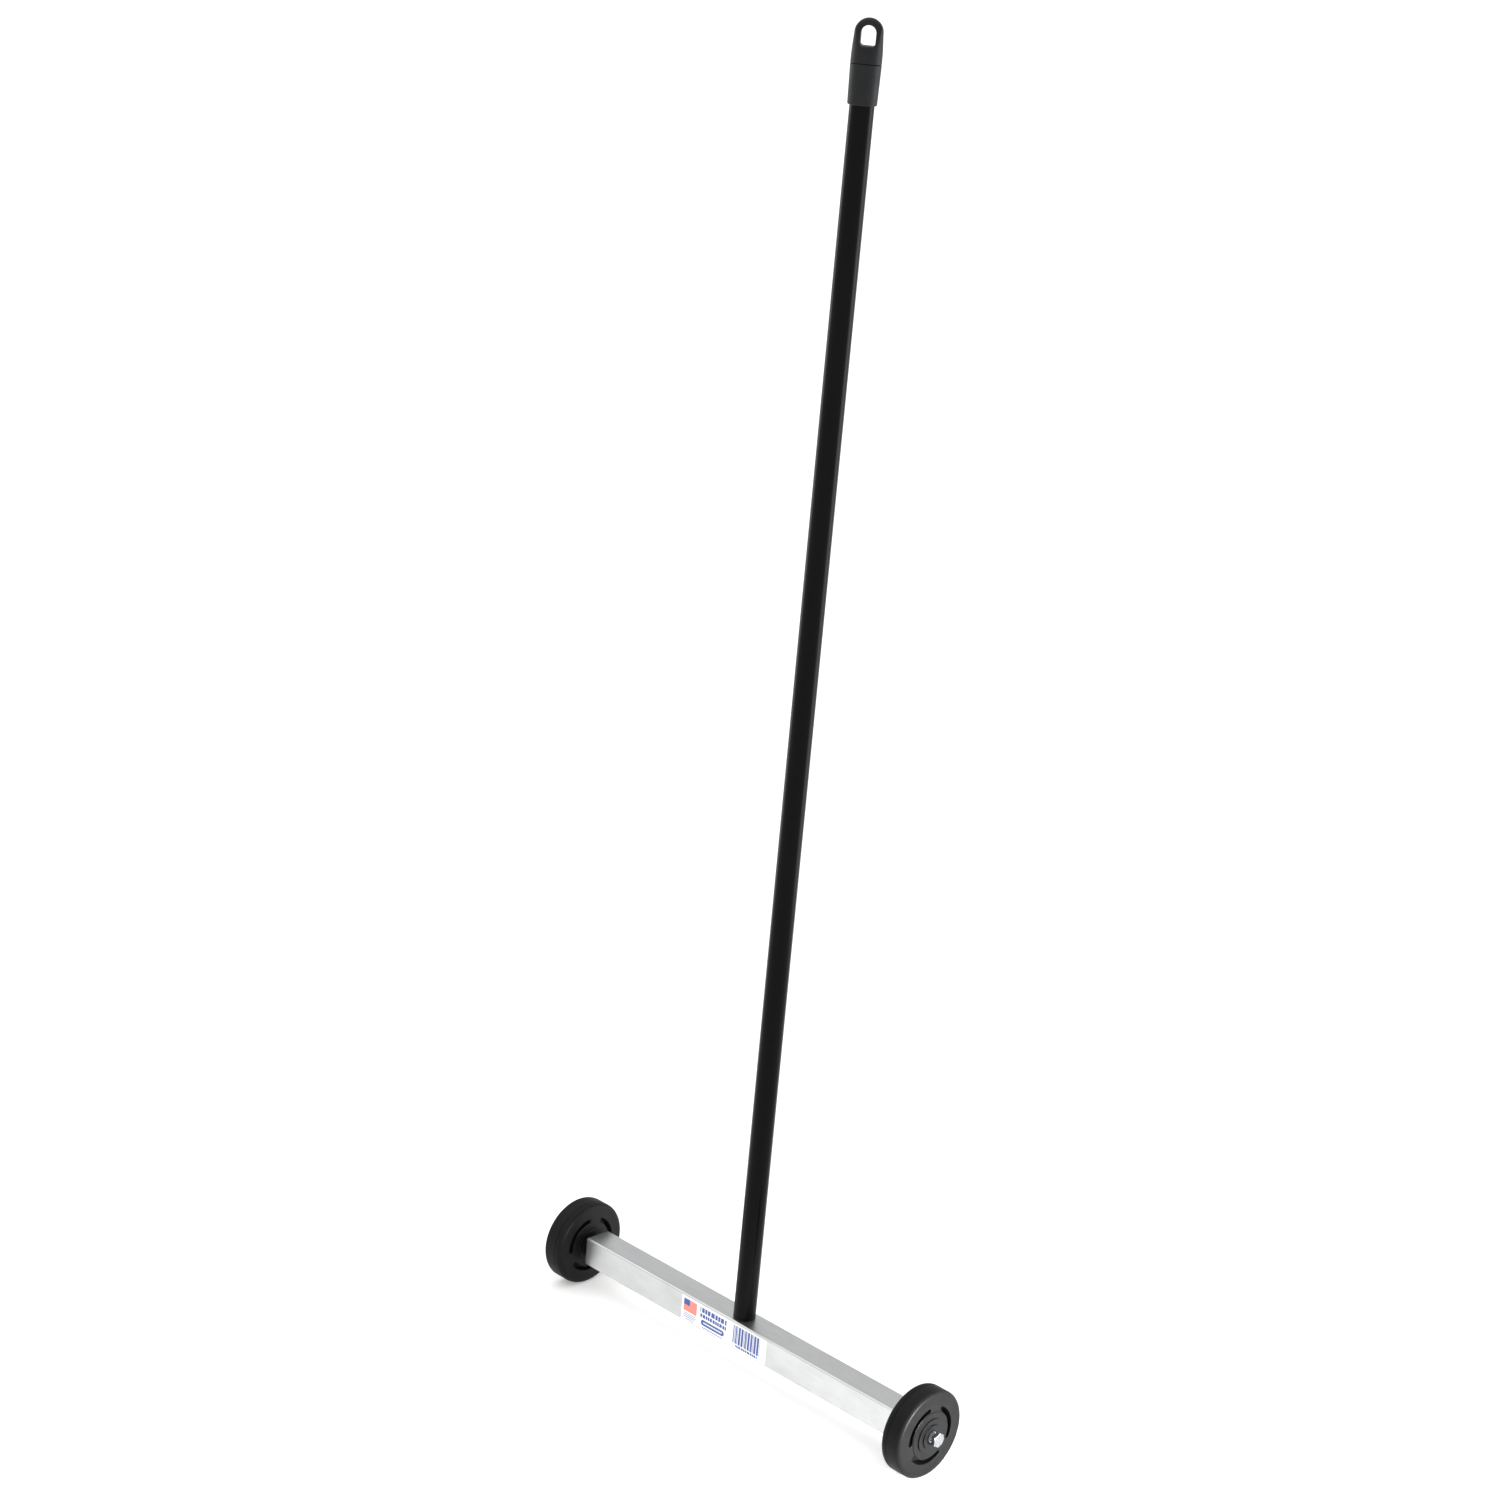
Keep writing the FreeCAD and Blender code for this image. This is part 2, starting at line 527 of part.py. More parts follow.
def make_wheel(side):
    """Moulded wheel: rounded tread with a seam, stepped hub on both faces and three arc slots in each."""
    name = f"wheel_{side}"
    body = new_body(name)
    bore = f"({BUSH_RADIUS} + dims.slip_gap)"
    width = "dims.wheel_width"
    seam_floor = "(dims.wheel_radius - dims.seam_depth)"
    seam_end = "(dims.seam_place + dims.seam_width)"
    disc = f"({width} + dims.disc_height)"
    low_step = f"({disc} + dims.outer_step_height)"
    top_step = f"({disc} + 2 * dims.outer_step_height)"
    turned = revolve(body, f"{name}_turned", [
        (bore, f"-{INNER_HUB}"), ("dims.small_step_radius", f"-{INNER_HUB}"),
        ("dims.small_step_radius", "-dims.inner_step_height"),
        ("dims.large_step_radius", "-dims.inner_step_height"), ("dims.large_step_radius", "0"),
        ("dims.wheel_radius", "0"), ("dims.wheel_radius", "dims.seam_place"),
        (seam_floor, "dims.seam_place"), (seam_floor, seam_end), ("dims.wheel_radius", seam_end),
        ("dims.wheel_radius", width), ("dims.disc_radius", width), ("dims.disc_radius", disc),
        ("dims.large_step_radius", disc), ("dims.large_step_radius", low_step),
        ("dims.small_step_radius", low_step), ("dims.small_step_radius", top_step), (bore, top_step)])
    radius = evaluate("dims.wheel_radius")
    far = evaluate(width)
    inner = round_edges(body, f"{name}_inner_edge", turned, "dims.wheel_inner_round",
                        lambda edge: is_ring(edge, radius, 0))
    outer = round_edges(body, f"{name}_outer_edge", inner, "dims.wheel_outer_round",
                        lambda edge: is_ring(edge, radius, far))
    section = new_sketch(body, f"{name}_slot_section", "XZ_Plane")
    section.AttachmentOffset = Placement(Vector(0, 0, 0), Rotation(Vector(0, 1, 0), 0))
    section.setExpression("AttachmentOffset.Rotation.Angle", f"90 + {SIDES[side]} * dims.slot_heading")
    slot_in = "(dims.disc_radius + dims.slot_land)"
    slot_out = f"({slot_in} + dims.slot_width)"
    add_rectangle(section, slot_in, slot_out, f"{width} - dims.slot_depth", disc)
    add_rectangle(section, slot_in, slot_out, "-dims.inner_step_height", "dims.slot_depth")
    groove = body.newObject("PartDesign::Groove", f"{name}_slots")
    groove.Profile = section
    groove.ReferenceAxis = (section, ["V_Axis"])
    groove.Midplane = True
    groove.setExpression("Angle", "dims.slot_angle")
    doc.recompute()
    pattern = body.newObject("PartDesign::PolarPattern", f"{name}_slot_pattern")
    pattern.Originals = [groove]
    pattern.Axis = (section, ["V_Axis"])
    pattern.Angle = 360
    pattern.Occurrences = 3
    body.Tip = pattern
    doc.recompute()
    removed = outer.Shape.Volume - pattern.Shape.Volume
    ring_area = math.pi * (evaluate(slot_out) ** 2 - evaluate(slot_in) ** 2)
    expected = 3 * evaluate("dims.slot_angle") / 360 * ring_area * 2 * evaluate("dims.slot_depth")
    if abs(removed - expected) > 0.01 * expected:
        raise RuntimeError(f"{name} slots removed {removed:.1f}, not {expected:.1f}")
    inside, outside = evaluate(slot_in), evaluate(slot_out)

    def is_slot_corner(edge):
        if not isinstance(edge.Curve, Part.Line) or len(edge.Vertexes) != 2:
            return False
        middle = edge.CenterOfMass
        upright = abs(edge.Vertexes[0].Z - edge.Vertexes[1].Z) > 1
        reach = math.hypot(middle.x, middle.y)
        return upright and min(abs(reach - inside), abs(reach - outside)) < 1e-3

    round_edges(body, f"{name}_slot_ends", pattern, "dims.slot_end_round", is_slot_corner)
    place_on_axle(body, side, WHEEL_IN)
    finish(body, name)


def write_parts():
    """Check every object and write each sub-part to its own file."""
    doc.recompute()
    for item in doc.Objects:
        if "Invalid" in item.State or "Error" in item.State:
            raise RuntimeError(f"{item.Label} did not compute: {item.State}")
    os.makedirs("parts", exist_ok=True)
    for item in parts:
        if item.Shape.isNull() or not item.Shape.isValid() or len(item.Shape.Solids) != 1:
            raise RuntimeError(f"{item.Label} is not one valid solid")
        item.Shape.exportStep(os.path.join("parts", f"{item.Label}.step"))
        size = item.Shape.BoundBox
        print(f"{item.Label:22s} {item.Shape.Volume:12.1f} mm3  "
              f"z {size.ZMin:8.2f} to {size.ZMax:8.2f}  x {size.XMin:8.2f} to {size.XMax:8.2f}")


write_sizes()
make_housing_tube()
make_backing_bar()
for magnet_number in range(1, MAGNET_COUNT + 1):
    make_magnet(magnet_number)
make_pole_bolt()
make_pole()
make_cap_sleeve()
make_hang_loop()
make_label()
for wheel_side in SIDES:
    make_end_plug(wheel_side)
    make_axle(wheel_side)
    make_wheel_bush(wheel_side)
    make_wheel(wheel_side)
write_parts()
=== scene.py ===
"""Magnetic floor sweeper: a square aluminium bar full of magnets on two small wheels, pushed by a long pole.

Metres. X runs along the bar, Y from its front to its back and Z up, with the floor at zero. Every finished
piece sits at the origin with its place in its mesh, and rides on the body that carries it.
"""

import logging
import math
from dataclasses import dataclass, field
from enum import Enum
from typing import Any, Optional, Sequence

import bmesh
import bpy
import numpy as np
from mathutils import Matrix, Vector


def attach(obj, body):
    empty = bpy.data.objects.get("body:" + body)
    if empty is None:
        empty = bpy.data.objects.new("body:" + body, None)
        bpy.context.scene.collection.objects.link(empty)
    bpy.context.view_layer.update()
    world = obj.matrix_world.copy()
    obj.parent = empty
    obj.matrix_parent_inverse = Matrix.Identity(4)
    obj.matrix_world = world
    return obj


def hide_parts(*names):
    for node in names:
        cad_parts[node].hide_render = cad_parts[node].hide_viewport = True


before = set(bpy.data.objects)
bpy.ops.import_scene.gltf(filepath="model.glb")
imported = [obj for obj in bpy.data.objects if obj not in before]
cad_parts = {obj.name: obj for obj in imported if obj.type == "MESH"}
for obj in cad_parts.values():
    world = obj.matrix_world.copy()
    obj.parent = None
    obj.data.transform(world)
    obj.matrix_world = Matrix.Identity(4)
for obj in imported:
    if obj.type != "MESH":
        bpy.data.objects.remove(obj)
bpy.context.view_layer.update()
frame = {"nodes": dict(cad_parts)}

log = logging.getLogger("sweeper")
MM = 0.001
AXLE_HEIGHT = 37.5 * MM


class Side(Enum):
    """The two ends of the bar, and the sign of X there."""

    LEFT = -1
    RIGHT = 1

    @property
    def label(self) -> str:
        """The side's name as the nodes spell it."""
        return self.name.lower()


# ---------------------------------------------------------------- colours, nodes and finishes


def linear(hex_colour: str) -> tuple[float, float, float, float]:
    """Turn an sRGB hex colour into the linear RGBA that a shader socket takes.

    Args:
        hex_colour: Six hex digits, with or without a leading hash.

    Returns:
        Linear red, green, blue and an alpha of one.
    """
    digits = hex_colour.lstrip("#")
    values = np.array([int(digits[i:i + 2], 16) for i in (0, 2, 4)]) / 255.0
    low, high = values / 12.92, ((values + 0.055) / 1.055) ** 2.4
    red, green, blue = np.where(values <= 0.04045, low, high)
    return float(red), float(green), float(blue), 1.0


def add(tree: bpy.types.NodeTree, kind: str, inputs: dict[Any, Any], out: int = 0,
        **settings: Any) -> bpy.types.NodeSocket:
    """Add one shader node with its settings and its links.

    Args:
        tree: The node tree that the node joins.
        kind: Its type name without the leading ShaderNode.
        inputs: Socket names or numbers, each with a value or with the output socket that feeds it.
        out: The number of the output that is wanted.
        **settings: Attributes of the node itself.

    Returns:
        The wanted output socket, or None for a node that has none.
    """
    node = tree.nodes.new("ShaderNode" + kind)
    for key, value in settings.items():
        setattr(node, key, value)
    for key, value in inputs.items():
        if isinstance(value, bpy.types.NodeSocket):
            tree.links.new(value, node.inputs[key])
        else:
            node.inputs[key].default_value = value
    return node.outputs[out] if len(node.outputs) else None


def start(name: str) -> tuple[bpy.types.Material, bpy.types.NodeTree, bpy.types.NodeSocket]:
    """Start an empty material.

    Args:
        name: The name of the real material and how it was made.

    Returns:
        The material, its node tree, and the coordinates of the object that wears it, in metres.
    """
    material = bpy.data.materials.new(name)
    material.use_nodes = True
    material.node_tree.nodes.clear()
    return material, material.node_tree, add(material.node_tree, "TexCoord", {}, out=3)


def shade(tree: bpy.types.NodeTree, inputs: dict[str, Any]) -> None:
    """End a material with its shader, given by socket name, and its output."""
    add(tree, "OutputMaterial", {"Surface": add(tree, "BsdfPrincipled", inputs)})


def patches(tree: bpy.types.NodeTree, place: bpy.types.NodeSocket, size: Sequence[float], detail: float = 2.0,
            roughness: float = 0.5) -> bpy.types.NodeSocket:
    """Lay cloudy noise over a piece, from zero to one.

    Args:
        tree: The material's node tree.
        place: The coordinates to lay it over.
        size: How large its patches are along X, Y and Z, in metres.
        detail: How many finer layers it has.
        roughness: How strong the finer layers are.

    Returns:
        The noise's value.
    """
    spaced = add(tree, "Mapping", {"Vector": place, "Scale": tuple(1.0 / length for length in size)})
    return add(tree, "TexNoise", {"Vector": spaced, "Scale": 1.0, "Detail": detail, "Roughness": roughness})


@dataclass(frozen=True)
class ExtrudedAluminium:
    """Mill-finish 6063 aluminium tube: a bright satin grey with faint die lines along its length."""

    colour: str = "#CFD0D0"
    stain: str = "#C3C4C5"
    roughness: float = 0.31
    die_line: float = 0.7 * MM
    line_depth: float = 0.002 * MM

    def build(self) -> bpy.types.Material:
        """Lay die lines along X, cloudy handling marks, and a few long scratches that catch the light.

        Returns:
            The material. The die lines are drawn 0.7 mm apart, coarser than the die leaves them, so that
            they show.
        """
        material, tree, place = start("mill_finish_aluminium")
        lines = patches(tree, place, (180 * MM, self.die_line, self.die_line), 3.0, 0.6)
        fine = patches(tree, place, (60 * MM, 0.18 * MM, 0.18 * MM), 2.0, 0.6)
        haze = patches(tree, place, (38 * MM, 16 * MM, 16 * MM), 3.0, 0.55)
        smear = patches(tree, place, (14 * MM, 5 * MM, 5 * MM), 4.0, 0.6)
        streak = patches(tree, place, (45 * MM, 0.3 * MM, 0.3 * MM), 0.0, 0.0)
        scratch = add(tree, "MapRange", {0: streak, 1: 0.80, 2: 0.86})
        worn = add(tree, "Mix", {0: 0.4, 2: haze, 3: smear})
        stained = add(tree, "MapRange", {0: worn, 1: 0.35, 2: 0.68})
        colour = add(tree, "Mix", {0: stained, 6: linear(self.colour), 7: linear(self.stain)}, out=2,
                     data_type="RGBA")
        rough = add(tree, "MapRange", {0: worn, 1: 0.3, 2: 0.7, 3: self.roughness - 0.05,
                                       4: self.roughness + 0.06})
        rough = add(tree, "Math", {0: lines, 1: 0.05, 2: rough}, operation="MULTIPLY_ADD")
        rough = add(tree, "Math", {0: scratch, 1: 0.1, 2: rough}, operation="MULTIPLY_ADD")
        height = add(tree, "Mix", {0: 0.3, 2: lines, 3: fine})
        height = add(tree, "Math", {0: scratch, 1: -0.8, 2: height}, operation="MULTIPLY_ADD")
        normal = add(tree, "Bump", {"Height": height, "Strength": 1.0, "Distance": self.line_depth})
        shade(tree, {"Base Color": colour, "Metallic": 1.0, "Roughness": rough, "Normal": normal})
        return material


@dataclass(frozen=True)
class SawnAluminium:
    """The bar's cut ends: pale scattering metal with the arcs that a cold saw leaves."""

    colour: str = "#ECEDEE"
    mark: str = "#D3D5D7"
    roughness: float = 0.5
    tooth_mark: float = 0.5 * MM
    blade: float = 0.14

    def build(self) -> bpy.types.Material:
        """Draw rings, one for each tooth, round a blade's centre 140 mm above the bar.

        Returns:
            The material. Its burr scatters light as a pale powder does, so it isn't wholly metallic.
        """
        material, tree, place = start("sawn_aluminium_end")
        centred = add(tree, "Mapping", {"Vector": place, "Location": (0.0, 0.03, -self.blade)})
        # a wave texture turns once for each twentieth of its scale, over two pi
        arcs = add(tree, "TexWave", {"Vector": centred, "Scale": math.pi / (self.tooth_mark * 10.0),
                                     "Distortion": 1.5, "Detail": 1.0, "Detail Scale": 2.0}, out=1,
                   wave_type="RINGS", rings_direction="X")
        colour = add(tree, "Mix", {0: arcs, 6: linear(self.colour), 7: linear(self.mark)}, out=2,
                     data_type="RGBA")
        rough = add(tree, "MapRange", {0: arcs, 3: self.roughness - 0.06, 4: self.roughness + 0.1})
        normal = add(tree, "Bump", {"Height": arcs, "Strength": 1.0, "Distance": 0.02 * MM})
        shade(tree, {"Base Color": colour, "Metallic": 0.6, "Roughness": rough, "Normal": normal})
        return material


@dataclass(frozen=True)
class BlackEnamel:
    """Baked gloss-black enamel on steel tube: deep black with a slight orange peel and faint rubbing."""

    colour: str = "#060606"
    dust: str = "#141415"
    roughness: float = 0.2
    peel: float = 1.6 * MM
    reflectance: float = 0.08

    def build(self) -> bpy.types.Material:
        """Lay the peel's ripples, long cloudy patches where hands have slid, and a trace of dust.

        Returns:
            The material. The ripples are 1.6 mm across, as sprayed enamel's are.
        """
        material, tree, place = start("black_baked_enamel")
        peel = patches(tree, place, (self.peel,) * 3)
        rubbed = patches(tree, place, (9 * MM, 9 * MM, 120 * MM), 3.0, 0.6)
        dust = patches(tree, place, (1.1 * MM, 1.1 * MM, 3.0 * MM), 3.0, 0.7)
        dusty = add(tree, "MapRange", {0: dust, 1: 0.60, 2: 0.78, 3: 0.0, 4: 0.35})
        colour = add(tree, "Mix", {0: dusty, 6: linear(self.colour), 7: linear(self.dust)}, out=2,
                     data_type="RGBA")
        rough = add(tree, "MapRange", {0: rubbed, 1: 0.3, 2: 0.72, 3: self.roughness - 0.04,
                                       4: self.roughness + 0.09})
        normal = add(tree, "Bump", {"Height": peel, "Strength": 1.0, "Distance": 0.006 * MM})
        shade(tree, {"Base Color": colour, "Roughness": rough, "Specular IOR Level": self.reflectance,
                     "Normal": normal})
        return material


@dataclass(frozen=True)
class MouldedPolypropylene:
    """Injection-moulded polypropylene, as the cap and loop: dark grey with a spark-eroded satin grain."""

    colour: str = "#17181A"
    cloud: str = "#1B1C1E"
    scuff: str = "#2A2B2F"
    roughness: float = 0.46
    grain: float = 0.32 * MM
    reflectance: float = 0.2

    def build(self) -> bpy.types.Material:
        """Lay a pebbled grain, the clouding of moulded plastic, and pale scuffs.

        Returns:
            The material. The grain is drawn 0.3 mm across, three times a real mould's, so that it shows.
        """
        material, tree, place = start("moulded_polypropylene")
        spaced = add(tree, "Mapping", {"Vector": place, "Scale": (1.0 / self.grain,) * 3})
        pebble = add(tree, "TexVoronoi", {"Vector": spaced, "Scale": 1.0, "Smoothness": 0.7},
                     feature="SMOOTH_F1")
        cloud = add(tree, "MapRange", {0: patches(tree, place, (7 * MM, 7 * MM, 11 * MM)), 1: 0.3, 2: 0.7})
        marks = patches(tree, place, (0.5 * MM, 0.5 * MM, 4 * MM), 3.0, 0.7)
        scuffed = add(tree, "MapRange", {0: marks, 1: 0.62, 2: 0.8, 3: 0.0, 4: 0.4})
        base = add(tree, "Mix", {0: cloud, 6: linear(self.colour), 7: linear(self.cloud)}, out=2,
                   data_type="RGBA")
        colour = add(tree, "Mix", {0: scuffed, 6: base, 7: linear(self.scuff)}, out=2, data_type="RGBA")
        rough = add(tree, "MapRange", {0: cloud, 3: self.roughness - 0.04, 4: self.roughness + 0.05})
        normal = add(tree, "Bump", {"Height": pebble, "Strength": 1.0, "Distance": 0.02 * MM})
        shade(tree, {"Base Color": colour, "Roughness": rough, "Specular IOR Level": self.reflectance,
                     "Normal": normal})
        return material


@dataclass(frozen=True)
class MouldedPolyethylene:
    """Injection-moulded black polyethylene, as the wheels: waxy satin, with rings from the turned mould.

    Attributes:
        tread: Radius past which the surface is the scuffed running tread.
    """

    tread: float = 35.4 * MM
    colour: str = "#111112"
    flow: str = "#151515"
    scuff: str = "#2A2A2A"
    roughness: float = 0.4
    ring: float = 0.45 * MM

    def build(self) -> bpy.types.Material:
        """Lay turned rings round the axle on the faces, and scuffs and dust on the tread.

        Returns:
            The material. The rings are drawn 0.45 mm apart, coarser than a lathe leaves them, so that they
            show. A ring's height is the sine of its distance from the axle.
        """
        material, tree, place = start("moulded_polyethylene")
        axle = add(tree, "Mapping", {"Vector": place, "Location": (0.0, 0.0, -AXLE_HEIGHT),
                                     "Scale": (0.0, 1.0, 1.0)})
        radius = add(tree, "VectorMath", {0: axle}, out=1, operation="LENGTH")
        tread = add(tree, "MapRange", {0: radius, 1: self.tread, 2: self.tread + 1.2 * MM})
        face = add(tree, "Math", {0: 1.0, 1: tread}, operation="SUBTRACT")
        phase = add(tree, "Math", {0: radius, 1: 2.0 * math.pi / self.ring}, operation="MULTIPLY")
        ring = add(tree, "Math", {0: phase}, operation="SINE")
        grain = patches(tree, place, (0.35 * MM,) * 3, 2.0, 0.6)
        flow = add(tree, "MapRange", {0: patches(tree, place, (6 * MM,) * 3, 3.0, 0.6), 1: 0.3, 2: 0.7})
        rub = patches(tree, place, (2.2 * MM, 0.7 * MM, 0.7 * MM), 4.0, 0.7)
        scuffed = add(tree, "MapRange", {0: rub, 1: 0.5, 2: 0.75, 3: 0.0, 4: 0.35})
        dusty = add(tree, "Math", {0: scuffed, 1: tread}, operation="MULTIPLY")
        base = add(tree, "Mix", {0: flow, 6: linear(self.colour), 7: linear(self.flow)}, out=2,
                   data_type="RGBA")
        colour = add(tree, "Mix", {0: dusty, 6: base, 7: linear(self.scuff)}, out=2, data_type="RGBA")
        rough = add(tree, "MapRange", {0: flow, 3: self.roughness - 0.05, 4: self.roughness + 0.05})
        rough = add(tree, "Math", {0: tread, 1: 0.12, 2: rough}, operation="MULTIPLY_ADD")
        turned_face = add(tree, "Math", {0: ring, 1: face}, operation="MULTIPLY")
        height = add(tree, "Math", {0: turned_face, 1: 0.3, 2: grain}, operation="MULTIPLY_ADD")
        normal = add(tree, "Bump", {"Height": height, "Strength": 1.0, "Distance": 0.008 * MM})
        shade(tree, {"Base Color": colour, "Roughness": rough, "Specular IOR Level": 0.1, "Normal": normal})
        return material


@dataclass(frozen=True)
class PlatedSteel:
    """Bright zinc-plated or polished steel, as the bolts, nuts, washers and bushes: cool mottled grey."""

    name: str = "zinc_plated_steel"
    colour: str = "#B2B5B8"
    mottle: str = "#989B9F"
    roughness: float = 0.24

    def build(self) -> bpy.types.Material:
        """Lay the plating's crystal mottle, a millimetre across, and fine turning marks.

        Returns:
            The material.
        """
        material, tree, place = start(self.name)
        crystal = patches(tree, place, (1.1 * MM,) * 3, 3.0, 0.6)
        turning = patches(tree, place, (0.9 * MM, 0.12 * MM, 0.12 * MM), 2.0, 0.5)
        share = add(tree, "MapRange", {0: crystal, 1: 0.35, 2: 0.65})
        colour = add(tree, "Mix", {0: share, 6: linear(self.colour), 7: linear(self.mottle)}, out=2,
                     data_type="RGBA")
        rough = add(tree, "MapRange", {0: crystal, 1: 0.3, 2: 0.7, 3: self.roughness - 0.06,
                                       4: self.roughness + 0.1})
        normal = add(tree, "Bump", {"Height": turning, "Strength": 1.0, "Distance": 0.006 * MM})
        shade(tree, {"Base Color": colour, "Metallic": 1.0, "Roughness": rough, "Normal": normal})
        return material


@dataclass(frozen=True)
class SinteredFerrite:
    """Sintered ceramic ferrite, as the magnets: charcoal grey, ground flat, with a fine pitted grain."""

    colour: str = "#2B2A2B"
    grain: str = "#3B3A3A"

    def build(self) -> bpy.types.Material:
        """Lay grains a third of a millimetre across, and grinding lines along X.

        Returns:
            The material.
        """
        material, tree, place = start("sintered_ferrite")
        grain = patches(tree, place, (0.35 * MM,) * 3, 3.0, 0.7)
        ground = patches(tree, place, (12 * MM, 0.25 * MM, 0.25 * MM), 2.0, 0.6)
        share = add(tree, "MapRange", {0: grain, 1: 0.35, 2: 0.65})
        colour = add(tree, "Mix", {0: share, 6: linear(self.colour), 7: linear(self.grain)}, out=2,
                     data_type="RGBA")
        rough = add(tree, "MapRange", {0: ground, 1: 0.3, 2: 0.7, 3: 0.5, 4: 0.72})
        height = add(tree, "Math", {0: ground, 1: 0.5, 2: grain}, operation="MULTIPLY_ADD")
        normal = add(tree, "Bump", {"Height": height, "Strength": 1.0, "Distance": 0.02 * MM})
        shade(tree, {"Base Color": colour, "Roughness": rough, "Normal": normal})
        return material


@dataclass(frozen=True)
class CastNylon:
    """Black cast nylon, as the end plugs: a dull black with a machined grain on the end that shows."""

    colour: str = "#161616"
    grain: str = "#222222"

    def build(self) -> bpy.types.Material:
        """Lay a machined grain half a millimetre wide.

        Returns:
            The material.
        """
        material, tree, place = start("cast_nylon")
        grain = patches(tree, place, (8 * MM, 0.5 * MM, 0.5 * MM), 2.0, 0.6)
        share = add(tree, "MapRange", {0: grain, 1: 0.35, 2: 0.65})
        colour = add(tree, "Mix", {0: share, 6: linear(self.colour), 7: linear(self.grain)}, out=2,
                     data_type="RGBA")
        rough = add(tree, "MapRange", {0: grain, 1: 0.3, 2: 0.7, 3: 0.45, 4: 0.6})
        normal = add(tree, "Bump", {"Height": grain, "Strength": 1.0, "Distance": 0.015 * MM})
        shade(tree, {"Base Color": colour, "Roughness": rough, "Normal": normal})
        return material


